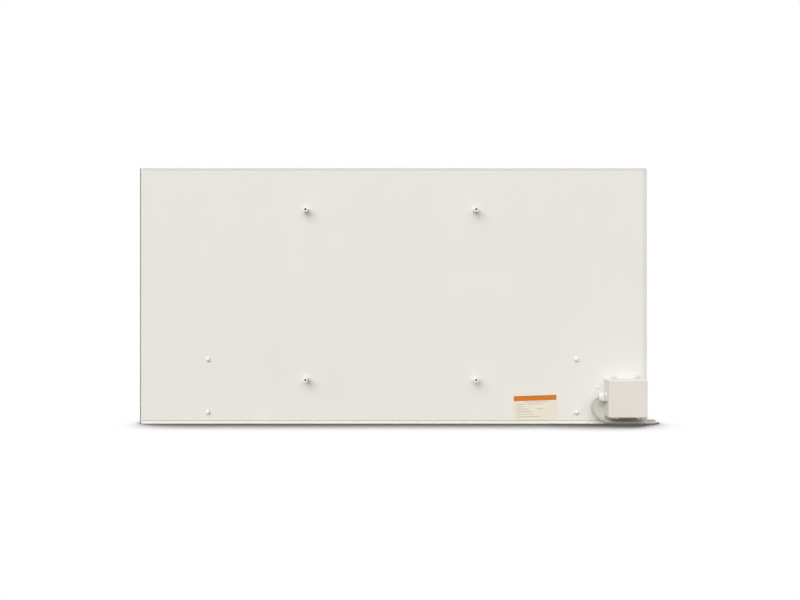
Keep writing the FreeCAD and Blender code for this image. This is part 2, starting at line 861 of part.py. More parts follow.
def make_junction_box():
    body = new_body("box")
    pad(body, "xz", (lid_back, rear_face), inset_rectangle(0))
    fillet(body, dim.box_round, runs_along("y"))
    pocket(body, "xz", (lid_back, base_inner), inset_rectangle(dim.box_wall))
    half = dim.ear_width / 2
    ears = [
        rectangle(x - half, x + half, *inward(edge, up, -dim.box_wall, dim.ear_height))
        for x, edge, up in EAR_PLACES
    ]
    pad(body, "xz", (ear_face, rear_face), *ears)
    ear_holes = [(x, z + up * dim.ear_hole_out, dim.pan_shank + dim.slip) for x, z, up in EAR_PLACES]
    pocket(body, "xz", (ear_face, rear_face), *ear_holes)
    base_holes = [
        (grommet_x, grommet_z, dim.grommet_sleeve + dim.slip),
        (earth_x, earth_z, dim.stud_radius + dim.slip),
    ]
    pocket(body, "xz", (base_inner, rear_face), *base_holes)
    pocket(body, "yz", (box_left, box_left + dim.box_wall), (gland_y, gland_z, dim.gland_thread + dim.slip))
    screw_y = lid_back + dim.lug_depth / 2
    screw_holes = [(x, screw_y, dim.pan_shank + dim.slip) for x in lug_places()]
    pocket(body, "xy", (box_bottom, box_bottom + dim.box_wall), *screw_holes)
    node("junction_box", body)


def make_box_lid():
    body = new_body("lid")
    pad(body, "xz", (box_face, lid_back), inset_rectangle(0))
    fillet(body, dim.box_round, runs_along("y"))
    fillet(body, dim.lid_round, lies_at("y", box_face))
    rim = dim.box_wall + dim.slip
    rim_outlines = inset_rectangle(rim), inset_rectangle(rim + dim.lid_rim_wall)
    pad(body, "xz", (lid_back, lid_back + dim.lid_rim), *rim_outlines)
    half = dim.lug_side / 2
    lug_z = (box_bottom + rim, box_bottom + rim + dim.lug_side)
    lugs = [rectangle(x - half, x + half, *lug_z) for x in lug_places()]
    pad(body, "xz", (lid_back, lid_back + dim.lug_depth), *lugs)
    screw_holes = [(x, lid_back + dim.lug_depth / 2, dim.pan_shank + dim.slip) for x in lug_places()]
    pocket(body, "xy", lug_z, *screw_holes)
    node("box_lid", body)


def pan_screw(name, axis, face, way, centre):
    """A pan-headed screw on a face, with a socket in its head."""
    head = rod(f"{name}_head", axis, inward(face, way, -dim.pan_head, 0), centre, dim.pan_head_radius)
    shank = rod(f"{name}_shank", axis, inward(face, way, 0, dim.pan_length), centre, dim.pan_shank)
    socket_span = inward(face, way, -dim.pan_head, dim.socket_depth - dim.pan_head)
    socket = hexagon(f"{name}_socket", axis, socket_span, centre, 2 * dim.corner_socket)
    return cut(name, fuse(f"{name}_blank", head, shank), socket)


def make_box_screws():
    ear_screws = [
        pan_screw(f"ear_screw_{index}", "y", ear_face, 1, (x, z + up * dim.ear_hole_out))
        for index, (x, z, up) in enumerate(EAR_PLACES)
    ]
    node("box_screws", group("box_screws", ear_screws))
    lid_screws = [
        pan_screw(f"lid_screw_{index}", "z", box_bottom, 1, (x, lid_back + dim.lug_depth / 2))
        for index, x in enumerate(lug_places())
    ]
    node("lid_screws", group("lid_screws", lid_screws))


def make_grommet():
    flange = dim.grommet_flange
    inner = flange + dim.box_base + dim.rear_sheet
    outline = [
        (dim.grommet_bore, 0), (dim.grommet_flange_radius, 0), (dim.grommet_flange_radius, flange),
        (dim.grommet_sleeve, flange), (dim.grommet_sleeve, inner), (dim.grommet_flange_radius, inner),
        (dim.grommet_flange_radius, inner + flange), (dim.grommet_bore, inner + flange),
    ]
    node("grommet", turned("grommet_ring", "y", base_inner - flange, (grommet_x, grommet_z), outline))


# Terminals, earth point and cut-out.
def make_terminals():
    half = dim.pole_pitch + dim.block_end
    top = base_inner - dim.block_height
    block_x = (block_left, block_right)
    blank = block("terminal_blank", block_x, (top, base_inner), (block_z - half, block_z + half))
    bores, sleeves, screws, screw_holes = [], [], [], []
    sleeve_span = (block_left + dim.sleeve_inset, block_right - dim.sleeve_inset)
    sleeve_top = sleeve_y - dim.sleeve_radius
    screw_places = (block_left + dim.terminal_inset, block_right - dim.terminal_inset)
    for pole, z in POLES.items():
        centre = (sleeve_y, z)
        bores.append(rod(f"bore_{pole}", "x", block_x, centre, dim.sleeve_radius + dim.slip))
        outer = rod(f"sleeve_outer_{pole}", "x", sleeve_span, centre, dim.sleeve_radius)
        bore = rod(f"sleeve_bore_{pole}", "x", sleeve_span, centre, dim.sleeve_bore)
        sleeves.append(cut(f"sleeve_{pole}", outer, bore))
        for index, x in enumerate(screw_places):
            name = f"{pole}_{index}"
            screws.append(rod(f"terminal_screw_{name}", "y", (top + dim.terminal_sunk, sleeve_top), (x, z),
                              dim.terminal_shank))
            screw_holes.append(rod(f"terminal_hole_{name}", "y", (top, sleeve_top), (x, z),
                                   dim.terminal_shank + dim.slip))
    gaps = [
        block(f"pole_gap_{index}", block_x, (top, top + dim.pole_gap_depth),
              (z - dim.pole_gap / 2, z + dim.pole_gap / 2))
        for index, z in enumerate((block_z - dim.pole_pitch / 2, block_z + dim.pole_pitch / 2))
    ]
    node("terminal_block", cut("terminal_block", blank, *bores, *screw_holes, *gaps))
    node("terminal_sleeves", group("terminal_sleeves", sleeves))
    node("terminal_screws", group("terminal_screws", screws))


def make_earth_point():
    centre = (earth_x, earth_z)
    head = rod("stud_head", "y", (pan_inner, pan_inner + dim.stud_head), centre, dim.stud_head_radius)
    shank = rod("stud_shank", "y", (base_inner - dim.stud_reach, pan_inner), centre, dim.stud_radius)
    node("earth_stud", fuse("earth_stud", head, shank))
    ring_face = base_inner - dim.lug_ring
    hole = dim.stud_radius + dim.slip
    ring = rod("lug_ring", "y", (ring_face, base_inner), centre, dim.lug_ring_radius)
    barrel_y = base_inner - dim.lug_barrel_radius
    barrel_low = earth_z + dim.lug_ring_radius - dim.run_gap
    barrel = rod("lug_barrel", "z", (barrel_low, barrel_low + dim.lug_barrel), (earth_x, barrel_y),
                 dim.lug_barrel_radius)
    ring_hole = rod("lug_hole", "y", (ring_face, base_inner), centre, hole)
    node("earth_lug", cut("earth_lug", fuse("lug_blank", ring, barrel), ring_hole))
    nut_span = (ring_face - dim.earth_nut_thickness, ring_face)
    nut = hexagon("earth_nut_blank", "y", nut_span, centre, dim.earth_nut_flats)
    node("earth_nut", cut("earth_nut", nut, rod("earth_nut_hole", "y", nut_span, centre, hole)))
    return (earth_x, barrel_y, barrel_low + dim.lug_barrel)


def make_cutout():
    seat = pan_inner + dim.bracket_thickness
    bracket_right = rivet_x + dim.bracket_lead
    half = dim.bracket_width / 2
    blank = block("bracket_blank", (bracket_right - dim.bracket_length, bracket_right), (pan_inner, seat),
                  (rivet_z - half, rivet_z + half))
    rivet_centre = (rivet_x, rivet_z)
    hole = rod("bracket_hole", "y", (pan_inner, seat), rivet_centre, dim.rivet_shank + dim.slip)
    node("cutout_bracket", cut("cutout_bracket", blank, hole))
    head, grip = dim.rivet_head, dim.rivet_head + dim.rear_sheet + dim.bracket_thickness
    rivet = turned("rivet", "y", rear_face - head, rivet_centre, [
        (0, 0), (dim.rivet_head_radius, 0), (dim.rivet_head_radius, head), (dim.rivet_shank, head),
        (dim.rivet_shank, grip), (dim.rivet_tail_radius, grip),
        (dim.rivet_tail_radius, grip + head), (0, grip + head),
    ])
    fillet(rivet, dim.rivet_round, lies_at("z", 0))
    node("cutout_rivet", rivet)
    centre = (cutout_x, rivet_z)
    rim = seat + dim.cutout_height
    parts = [
        rod("cutout_can", "y", (seat, rim), centre, dim.cutout_radius),
        rod("cutout_cap", "y", (rim, rim + dim.cutout_cap), centre, dim.cutout_cap_radius),
    ]
    blade_x = (cutout_x - dim.blade_width / 2, cutout_x + dim.blade_width / 2)
    blade_y = (wire_level - dim.blade_thickness / 2, wire_level + dim.blade_thickness / 2)
    reach = dim.cutout_radius + dim.blade_length
    parts += [block(f"blade_{way}", blade_x, blade_y, inward(rivet_z, way, 0, reach)) for way in (-1, 1)]
    node("thermal_cutout", fuse("thermal_cutout", *parts))
    return {"upper": rivet_z + reach, "lower": rivet_z - reach}


def make_wiring(lug_mouth, blades):
    wire = dim.wire_radius
    for name, angle in (("live", 90), ("neutral", -30), ("earth", 210)):
        y = gland_y + CORE_RING * math.cos(math.radians(angle))
        z = gland_z + CORE_RING * math.sin(math.radians(angle))
        pole = POLES[name]
        tube(f"core_{name}", [
            (flex_end, y, z), (flex_end + CORE_OUT, y, z), (block_left - BLOCK_ENTRY, sleeve_y, pole),
            (block_left + WIRE_GRIP, sleeve_y, pole),
        ], wire)
    start = block_right - WIRE_GRIP
    live_z, neutral_z = grommet_z + GROMMET_APART, grommet_z - GROMMET_APART
    bends = [(box_left + x, wire_level, box_bottom + z) for x, z in LIVE_BENDS]
    tube("live_wire", [
        (start, sleeve_y, POLES["live"]), (start + WIRE_OUT, sleeve_y, POLES["live"]),
        (grommet_x, sleeve_y, live_z), (grommet_x, wire_level, live_z), *bends,
        (cutout_x, wire_level, bends[-1][2]), (cutout_x, wire_level, blades["upper"]),
    ], wire)
    tube("live_film_wire", [
        (cutout_x, wire_level, blades["lower"]), (cutout_x, wire_level, box_bottom + FILM_BEND),
        (live_pad_x, wire_level, live_strip_z), (live_pad_x, strip_back, live_strip_z),
    ], wire)
    riser = half_width - NEUTRAL_FROM_EDGE
    tube("neutral_wire", [
        (start, sleeve_y, POLES["neutral"]), (grommet_x, sleeve_y, neutral_z),
        (grommet_x, wire_level, neutral_z), (riser, wire_level, box_bottom + NEUTRAL_BEND),
        (riser, wire_level, neutral_strip_z - NEUTRAL_TOP_BEND),
        (neutral_pad_x, wire_level, neutral_strip_z), (neutral_pad_x, strip_back, neutral_strip_z),
    ], wire)
    x, y, z = lug_mouth
    tube("earth_wire", [
        (start, sleeve_y, POLES["earth"]), (start + EARTH_OUT, sleeve_y, POLES["earth"]),
        (x, y, z + EARTH_DROP), (x, y, z),
    ], wire)


# The cable gland: its nut turns on the thread and lets the thrust washer out.
def make_gland():
    centre = (gland_y, gland_z)
    inner_end = box_left + dim.gland_thread_in
    seal_end = thread_end + dim.seal_length
    hexed = hexagon("gland_hex", "x", (gland_face, box_left), centre, dim.gland_flats)
    spigot = rod("gland_spigot", "x", (thread_end, inner_end), centre, dim.gland_thread)
    bore = rod("gland_bore", "x", (thread_end, inner_end), centre, dim.gland_bore)
    seat = rod("gland_seal_seat", "x", (thread_end, seal_end), centre, dim.seal_radius)
    node("gland_body", cut("gland_body", fuse("gland_blank", hexed, spigot), bore, seat))
    lock_span = (box_left + dim.box_wall, box_left + dim.box_wall + dim.locknut_thickness)
    locknut = hexagon("locknut_blank", "x", lock_span, centre, dim.gland_flats)
    lock_hole = rod("locknut_hole", "x", lock_span, centre, dim.gland_thread + dim.slip)
    node("gland_locknut", cut("gland_locknut", locknut, lock_hole))
    seal_span = (thread_end + dim.run_gap, seal_end)
    seal = rod("seal_blank", "x", seal_span, centre, dim.seal_radius - dim.slip)
    seal_hole = rod("seal_hole", "x", seal_span, centre, dim.flex_radius + dim.slip)
    node("gland_seal", cut("gland_seal", seal, seal_hole))
    washer_span = (washer_outer, washer_inner)
    washer = rod("washer_blank", "x", washer_span, centre, dim.washer_radius)
    washer_hole = rod("washer_hole", "x", washer_span, centre, dim.flex_radius + dim.run_gap)
    node("gland_washer", cut("gland_washer", washer, washer_hole))
    nut_length = gland_face - dim.nut_gap - nut_front
    inside = dim.gland_thread + dim.nut_thread_gap
    nut = turned("nut", "x", nut_front, centre, [
        (dim.nut_mouth, 0), (dim.nut_radius, 0), (dim.nut_radius, nut_length), (inside, nut_length),
        (inside, dim.nut_end), (dim.nut_mouth, dim.nut_end),
    ])
    mouth = dim.nut_mouth.number
    fillet(nut, dim.nut_dome, lambda edge: lies_at("z", 0)(edge) and edge.Curve.Radius > mouth + 1)
    grip_end = nut_front + nut_length
    grip_span = (grip_end - dim.nut_hex, grip_end)
    grip_blank = hexagon("nut_grip_blank", "x", grip_span, centre, dim.gland_flats)
    grip = cut("nut_grip", grip_blank, rod("nut_grip_hole", "x", grip_span, centre, inside))
    node("gland_nut", fuse("gland_nut", nut, grip))


# The flex.
def arc_from(start, heading, end):
    """An arc that leaves a point in a given direction and ends at another point."""
    chord = end - start
    along = Vector(chord).normalize()
    rise = heading - along * heading.dot(along)
    if rise.Length < 1e-9:
        return Part.LineSegment(start, end)
    bulge = chord.Length / 2 * math.tan(heading.getAngle(chord) / 2)
    return Part.Arc(start, (start + end) / 2 + rise.normalize() * bulge, end)


def biarc(start, heading, end, last_heading):
    """Two arcs, tangent to each other, between two points with given directions."""
    chord = end - start
    quadratic = 2 * (1 - heading.dot(last_heading))
    linear = 2 * chord.dot(heading + last_heading)
    constant = -chord.dot(chord)
    reach = (math.sqrt(linear ** 2 - 4 * quadratic * constant) - linear) / (2 * quadratic)
    middle = (start + end + (heading - last_heading) * reach) / 2
    first = arc_from(start, heading, middle)
    turned_back = arc_from(end, -last_heading, middle)
    halfway = (turned_back.FirstParameter + turned_back.LastParameter) / 2
    return [first, Part.Arc(middle, turned_back.value(halfway), end)]


def coil_path():
    """Half turns that spiral in on the floor, climb a layer, and spiral out again on top."""
    pitch = dim.coil_pitch.number
    stub = Vector(-2 * dim.flex_radius.number, 0, 0)
    begin = Vector(*LEAD_ROUTE[-1])
    halves_in = 2 * COIL_TURNS_IN
    radii = [dim.coil_radius.number - pitch / 2 * step for step in range(halves_in + 1)]
    radii += radii[-2:0:-1]
    edges = [Part.LineSegment(begin, begin + stub)]
    point = begin + stub
    for step, radius in enumerate(radii):
        outward = 1 if step % 2 == 0 else -1
        climb = pitch if step == halves_in else 0
        heading = Vector(-outward, 0, 0)
        side = point + Vector(-outward * radius, outward * radius, climb / 2)
        side_heading = Vector(0, outward, 1.5 * climb / (math.pi * radius)).normalize()
        far = point + Vector(0, 2 * outward * radius, climb)
        edges += biarc(point, heading, side, side_heading)
        edges += biarc(side, side_heading, far, -heading)
        point = far
    edges.append(Part.LineSegment(point, point + stub))
    return Part.Wire([edge.toShape() for edge in edges])


def least_gap(path, radius):
    """The smallest space between stretches of a tube that are not next to each other along it."""
    step = 2
    skip = 10 * round(radius / step)
    points = path.discretize(Distance=step)
    near = min(a.distanceToPoint(b) for index, a in enumerate(points) for b in points[index + skip:])
    return near - 2 * radius


def make_flex():
    radius = dim.flex_radius
    node("flex_entry", rod("flex_entry", "x", (washer_inner, flex_end), (gland_y, gland_z), radius))
    tube("flex_lead", LEAD_ROUTE, radius)
    path = coil_path()
    coil = doc.addObject("Part::Feature", "flex_coil")
    coil.Shape = tube_shape(path, Vector(*LEAD_ROUTE[-1]), Vector(-1, 0, 0), radius.number)
    node("flex_coil", coil)
    print(f"flex_coil: {path.Length:.0f} mm, least gap {least_gap(path, radius.number):.2f} mm")
    tube("flex_tail", TAIL_ROUTE, radius)


def make_tie():
    """A strap round the coil's turns, on the side away from the panel."""
    start_x, start_y, start_z = LEAD_ROUTE[-1]
    middle = start_x - 2 * dim.flex_radius
    outer_turn = start_y + 2 * dim.coil_radius
    inner_turn = outer_turn - COIL_TURNS_IN * dim.coil_pitch
    room = dim.flex_radius + dim.tie_gap
    low, high = inner_turn - room, outer_turn + room
    floor = start_z - dim.flex_radius - dim.slip
    ceiling = start_z + dim.coil_pitch + room
    wall = dim.tie_thickness
    half = dim.tie_width / 2
    span = (middle - half, middle + half)
    body = new_body("tie")
    pad(body, "yz", span, rectangle(low - wall, high + wall, floor - wall, ceiling + wall))
    fillet(body, dim.tie_round, runs_along("x"))
    pocket(body, "yz", span, rectangle(low, high, floor, ceiling))
    head_low = (low + high) / 2 - dim.tie_head_side / 2
    head_span = (middle - dim.tie_head_side / 2, middle + dim.tie_head_side / 2)
    head_z = (ceiling + wall / 2, ceiling + dim.tie_head)
    pad(body, "yz", head_span, rectangle(head_low, head_low + dim.tie_head_side, *head_z))
    node("cord_tie", body)


# The plug lies on its side on the floor, its pins pointing along the panel.
def make_plug():
    end_x, axis_y, axis_z = TAIL_ROUTE[-1]
    centre = (axis_y, axis_z)
    shoulder = dim.plug_length + dim.plug_shoulder
    whole = shoulder + dim.plug_relief
    face = end_x - whole
    taper_rate = (dim.plug_neck_radius - dim.plug_relief_end) / dim.plug_relief
    grooves = []
    for index in range(RELIEF_GROOVES):
        end = (index + 1) * dim.relief_pitch
        start = end - dim.relief_groove
        deep = dim.relief_groove_depth
        for along, depth in ((start, 0), (start, deep), (end, deep), (end, 0)):
            grooves.append((dim.plug_neck_radius - taper_rate * along - depth, shoulder + along))
    blank = turned("plug_blank", "x", face, centre, [
        (0, 0), (dim.plug_radius - dim.plug_edge, 0), (dim.plug_radius, dim.plug_edge),
        (dim.plug_radius, dim.plug_length), (dim.plug_neck_radius, shoulder), *grooves,
        (dim.plug_relief_end, whole), (0, whole),
    ])
    half = dim.clip_width / 2
    slots, clips = [], []
    for way in (-1, 1):
        seat = axis_y + way * (dim.plug_radius - dim.clip_sunk)
        slot_z = (axis_z - half - dim.slip, axis_z + half + dim.slip)
        slot_x = (face, face + dim.clip_length)
        slots.append(block(f"clip_slot_{way}", slot_x, inward(seat, way, 0, 2 * dim.clip_sunk), slot_z))
        clips.append(block(f"clip_{way}", slot_x, inward(seat, way, 0, dim.clip_thickness),
                           (axis_z - half, axis_z + half)))
    grip_start = face + dim.plug_length - dim.plug_grip_length / 2
    grip_x = (grip_start, grip_start + dim.plug_grip_length)
    grip_y = (axis_y - dim.plug_radius, axis_y + dim.plug_radius)
    for way in (-1, 1):
        grip_face = axis_z + way * (dim.plug_radius - dim.plug_grip_depth)
        grip_z = inward(grip_face, way, 0, 2 * dim.plug_grip_depth)
        slots.append(block(f"plug_grip_{way}", grip_x, grip_y, grip_z))
    node("plug_body", cut("plug_body", blank, *slots))
    node("plug_earth_clips", group("plug_earth_clips", clips))
    pins = []
    for way in (-1, 1):
        pin = turned(f"pin_{way}", "x", face - dim.pin_length, (axis_y, axis_z + way * dim.pin_spacing / 2), [
            (0, 0), (dim.pin_radius, 0), (dim.pin_radius, dim.pin_length), (0, dim.pin_length),
        ])
        fillet(pin, dim.pin_round, lies_at("z", 0))
        pins.append(pin)
    node("plug_pins", group("plug_pins", pins))


def check_document():
    for thing in doc.Objects:
        if "Invalid" in thing.State or "Error" in thing.State:
            raise RuntimeError(f"{thing.Name} did not compute: {thing.State}")
    for name, thing in nodes.items():
        if thing.Shape.isNull() or not thing.Shape.isValid() or not thing.Shape.Solids:
            raise RuntimeError(f"{name} has no valid shape")


make_frame()
make_corner_keys()
make_corner_screws()
make_heating_core()
make_rear_cover()
make_wall_posts()
make_foot_points()
make_label()
make_junction_box()
make_box_lid()
make_box_screws()
make_grommet()
make_terminals()
make_wiring(make_earth_point(), make_cutout())
make_gland()
make_flex()
make_tie()
make_plug()
doc.recompute()
check_document()
os.makedirs("parts", exist_ok=True)
for name, thing in nodes.items():
    thing.Shape.exportStep(f"parts/{thing.Label}.step")
print(len(nodes), "pieces")
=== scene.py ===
import math

import bmesh
import bpy
from mathutils import Euler, Matrix, Vector


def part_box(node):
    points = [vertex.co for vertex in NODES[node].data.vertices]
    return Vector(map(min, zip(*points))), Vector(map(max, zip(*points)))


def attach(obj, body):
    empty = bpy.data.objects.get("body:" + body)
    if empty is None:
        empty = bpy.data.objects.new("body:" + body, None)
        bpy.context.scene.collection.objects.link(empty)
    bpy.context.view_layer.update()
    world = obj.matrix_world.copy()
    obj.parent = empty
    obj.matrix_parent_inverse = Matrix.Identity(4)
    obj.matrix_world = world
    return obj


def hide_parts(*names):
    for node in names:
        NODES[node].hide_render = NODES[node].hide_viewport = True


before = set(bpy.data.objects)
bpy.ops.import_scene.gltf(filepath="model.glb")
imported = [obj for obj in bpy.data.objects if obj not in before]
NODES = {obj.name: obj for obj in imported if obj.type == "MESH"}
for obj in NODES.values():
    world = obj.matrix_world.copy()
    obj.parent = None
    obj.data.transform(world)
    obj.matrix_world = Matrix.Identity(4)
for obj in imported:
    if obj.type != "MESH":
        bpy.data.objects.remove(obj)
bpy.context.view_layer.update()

bl_info = {
    "name": "Panel heater looks",
    "version": (1, 0, 0),
    "blender": (4, 5, 0),
    "location": "View3D > Sidebar > Heater",
    "description": "Finishes, flex and stage for a flat infrared panel heater",
    "category": "Object",
}

MM = 0.001
BODY = "heater"
WHITE = (1.0, 1.0, 1.0)

# Most of a soft noise lies between these values.
NOISE_LOW = 0.3
NOISE_HIGH = 0.7

# The colour sockets of a Mix node, which share their names with its other kinds.
MIX_FIRST = 6
MIX_SECOND = 7
MIX_RESULT = 2

# Painted light and shade on the profiles' coats, beside the frame's colour: the left and bottom profiles
# lighter, the top and right ones darker; and the brightest that a coat gets.
FRAME_PAINTED_LIGHT = {"left": 1.04, "right": 0.9, "top": 0.88, "bottom": 1.08}
POST_TONE = 1.1
BRIGHTEST_COAT = 0.9
# Width of the painted shade line along the left profile's outer corner.
PAINTED_SHADE_LINE_WIDTH = 2.8 * MM

# Colours of metals, rubber and what is inside, as linear values.
ZINC = (0.62, 0.62, 0.6)
SCREW_ZINC = (0.8, 0.79, 0.76)
RIVET_ALUMINIUM = (0.74, 0.74, 0.73)
CAST_ALUMINIUM = (0.64, 0.64, 0.64)
BLACK_RUBBER = (0.06, 0.06, 0.06)
RUBBER_BLOOM = (0.13, 0.13, 0.12)
CARBON = (0.03, 0.03, 0.032)
CARBON_GAP = (0.16, 0.16, 0.17)
CARBON_STRIPE = 6 * MM
COPPER = (0.72, 0.4, 0.27)
COPPER_TARNISH = (0.42, 0.22, 0.13)
COPPER_SHINE = (0.8, 0.5, 0.36)
MICA = (0.55, 0.44, 0.28)
MICA_SILVER = (0.78, 0.72, 0.58)
FOIL = (0.82, 0.82, 0.82)
MINERAL_BOARD = (0.66, 0.6, 0.42)
TERMINAL_PLASTIC = (0.72, 0.7, 0.64)
TERMINAL_BRASS = (0.72, 0.57, 0.28)
CERAMIC = (0.7, 0.66, 0.58)
BROWN = (0.2, 0.085, 0.035)
BLUE = (0.04, 0.13, 0.42)
YELLOW = (0.62, 0.55, 0.03)
GREEN = (0.05, 0.3, 0.06)
EARTH_STRIPE = 3 * MM
NICKEL = (0.75, 0.73, 0.68)
TIE_PLASTIC = (0.7, 0.7, 0.68)

# The floor's shade: how open the floor is where the wide shadow is deepest and where it has gone, the same
# for the small shadow at what touches it, and the tones. The bounce is the floor's colour for the light that
# it throws on things.
SHADOW_DEEPEST = 0.53
SHADOW_GONE = 0.92
SHADOW_TONE = (0.13, 0.12, 0.1)
TOUCH_DEEPEST = 0.2
TOUCH_GONE = 0.85
TOUCH_TONE = 0.45
TOUCH_SHARE = 1 / 12
FLOOR_BOUNCE = (0.36, 0.327, 0.225)

# The ways that the lamps' light travels, and the width of the camera's sensor in millimetres.
KEY_HEADING = (0.7, 1.0, -0.9)
FILL_HEADING = (-0.35, 1.0, -0.8)
BACK_HEADING = (-0.5, -1.0, -0.45)
SENSOR_WIDTH = 36.0

# The flex's free route in metres, point by point: out of the gland, down to the floor, along the panel's
# lower edge, round its right-hand end and back to the coil behind it.
LEAD_ROUTE = [
    (0.4837, -0.0100, 0.0645),
    (0.4764, -0.0100, 0.0645),
    (0.4708, -0.0098, 0.0608),
    (0.4666, -0.0092, 0.0536),
    (0.4648, -0.0082, 0.0436),
    (0.4677, -0.0064, 0.0313),
    (0.4764, -0.0038, 0.0189),
    (0.4915, -0.0008, 0.0092),
    (0.5124, 0.0020, 0.0038),
    (0.5480, 0.0034, 0.0033),
    (0.5760, 0.0040, 0.0033),
    (0.6130, 0.0031, 0.0033),
    (0.6241, 0.0112, 0.0033),
    (0.6284, 0.0243, 0.0033),
    (0.6241, 0.0374, 0.0033),
    (0.6130, 0.0455, 0.0033),
    (0.5900, 0.0460, 0.0034),
    (0.5650, 0.0425, 0.0040),
    (0.5400, 0.0425, 0.0040),
]

# From the coil's upper layer to the plug.
TAIL_ROUTE = [
    (0.5268, 0.0425, 0.0112),
    (0.5070, 0.0425, 0.0112),
    (0.4835, 0.0495, 0.0146),
    (0.4600, 0.0560, 0.0188),
    (0.4410, 0.0560, 0.0188),
]

# Short grey rules on the label: height above its middle, left end and length, in millimetres.
LABEL_RULES = [
    (13.6, -26.0, 56.0),
    (8.5, -44.0, 20.0),
    (8.5, -18.0, 36.0),
    (3.0, -44.0, 16.0),
    (-3.0, -44.0, 28.0),
    (-3.0, 2.0, 16.0),
    (-9.0, -44.0, 38.0),
    (-9.0, 10.0, 5.0),
    (-15.0, -44.0, 10.0),
    (-15.0, -30.0, 24.0),
    (-21.0, -44.0, 58.0),
]


# Node helpers


def new_finish(name, colour, roughness, metallic=0.0):
    """A material with the values that are the same all over on its shader's own sockets."""
    material = bpy.data.materials.new(name)
    material.use_nodes = True
    shader = material.node_tree.nodes["Principled BSDF"]
    shader.inputs["Base Color"].default_value = (*colour, 1.0)
    shader.inputs["Roughness"].default_value = roughness
    shader.inputs["Metallic"].default_value = metallic
    return material, material.node_tree, shader


def add_node(tree, kind, inputs=None, **settings):
    """A new node with its settings, and its inputs linked to sockets or set to values."""
    node = tree.nodes.new(kind)
    for name, value in settings.items():
        setattr(node, name, value)
    for name, value in (inputs or {}).items():
        if isinstance(value, bpy.types.NodeSocket):
            tree.links.new(value, node.inputs[name])
        else:
            node.inputs[name].default_value = value
    return node


def object_place(tree, stretch=(1.0, 1.0, 1.0)):
    """Places on the piece in metres, stretched along its axes."""
    place = add_node(tree, "ShaderNodeTexCoord").outputs["Object"]
    return add_node(tree, "ShaderNodeMapping", {"Vector": place, "Scale": stretch}).outputs["Vector"]


def noise(tree, grain, detail=2.0, stretch=(1.0, 1.0, 1.0), rough=0.5):
    """Soft noise whose lumps are about grain metres wide."""
    inputs = {
        "Vector": object_place(tree, stretch), "Scale": 1.0 / grain, "Detail": detail, "Roughness": rough,
    }
    return add_node(tree, "ShaderNodeTexNoise", inputs).outputs["Fac"]


def cells(tree, grain, feature="F1"):
    """Flat cells about grain metres wide."""
    inputs = {"Vector": object_place(tree), "Scale": 1.0 / grain}
    return add_node(tree, "ShaderNodeTexVoronoi", inputs, feature=feature).outputs


def blend_colours(tree, factor, stops):
    """A colour ramp through stops of place and colour."""
    node = add_node(tree, "ShaderNodeValToRGB", {"Fac": factor})
    ramp = node.color_ramp
    while len(ramp.elements) < len(stops):
        ramp.elements.new(0.5)
    for element, (place, colour) in zip(ramp.elements, stops):
        element.position = place
        element.color = (*colour, 1.0)
    return node.outputs["Color"]


def spread(tree, factor, low, high):
    """A noise spread over a range of values."""
    inputs = {
        "Value": factor, "From Min": NOISE_LOW, "From Max": NOISE_HIGH, "To Min": low, "To Max": high,
    }
    return add_node(tree, "ShaderNodeMapRange", inputs).outputs["Result"]


def raise_surface(tree, shader, height, depth, edge=0.0):
    """Bump from a height, over edges that are softened by a small radius."""
    inputs = {"Height": height, "Distance": depth, "Strength": 1.0}
    if edge:
        inputs["Normal"] = add_node(tree, "ShaderNodeBevel", {"Radius": edge}, samples=4).outputs["Normal"]
    bump = add_node(tree, "ShaderNodeBump", inputs)
    tree.links.new(bump.outputs["Normal"], shader.inputs["Normal"])


def edge_mask(tree, radius):
    """How near a place is to a convex or concave edge, from 0 on a flat to 1."""
    rounded = add_node(tree, "ShaderNodeBevel", {"Radius": radius}, samples=4).outputs["Normal"]
    flat = add_node(tree, "ShaderNodeNewGeometry").outputs["Normal"]
    straight = add_node(tree, "ShaderNodeVectorMath", {0: rounded, 1: flat}, operation="DOT_PRODUCT")
    inputs = {"Value": straight.outputs["Value"], "From Min": 1.0, "From Max": 0.75}
    return add_node(tree, "ShaderNodeMapRange", inputs).outputs["Result"]


def ramp_between(tree, value, start, end, low=0.0):
    """A smooth factor that goes from 0, or another low value, at one place to 1 at another."""
    inputs = {"Value": value, "From Min": start, "From Max": end, "To Min": low}
    return add_node(tree, "ShaderNodeMapRange", inputs, interpolation_type="SMOOTHSTEP").outputs["Result"]


def multiply(tree, first, second):
    """The product of two factors."""
    return add_node(tree, "ShaderNodeMath", {0: first, 1: second}, operation="MULTIPLY").outputs["Value"]


def painted_shade_line(tree, place_x, place_y, width):
    """A mask for a painted shade line along an upright corner at the piece's left, which fades out towards
    its inner side.
    """
    place = add_node(tree, "ShaderNodeTexCoord").outputs["Object"]
    axes = add_node(tree, "ShaderNodeSeparateXYZ", {"Vector": place}).outputs
    across = ramp_between(tree, axes["X"], place_x + width, place_x + 0.6 * width)
    along = ramp_between(tree, axes["Y"], place_y + 0.3 * width, place_y + 0.1 * width)
    return multiply(tree, across, along)


def mix_colours(tree, factor, first, second):
    """The first colour where the factor is 0 and the second where it is 1; each is a socket or a value."""
    node = add_node(tree, "ShaderNodeMix", {"Factor": factor}, data_type="RGBA")
    for socket, value in ((node.inputs[MIX_FIRST], first), (node.inputs[MIX_SECOND], second)):
        if isinstance(value, bpy.types.NodeSocket):
            tree.links.new(value, socket)
        else:
            socket.default_value = (*value, 1.0)
    return node.outputs[MIX_RESULT]


def scaled(colour, factor, most=1.0):
    """A colour made darker or brighter, up to a brightest value."""
    return tuple(min(most, channel * factor) for channel in colour)


def mottled(tree, factor, colour, darkest):
    """A colour that is darker where a noise is low."""
    return blend_colours(tree, factor, [(NOISE_LOW, scaled(colour, darkest)), (NOISE_HIGH, colour)])


# Finishes


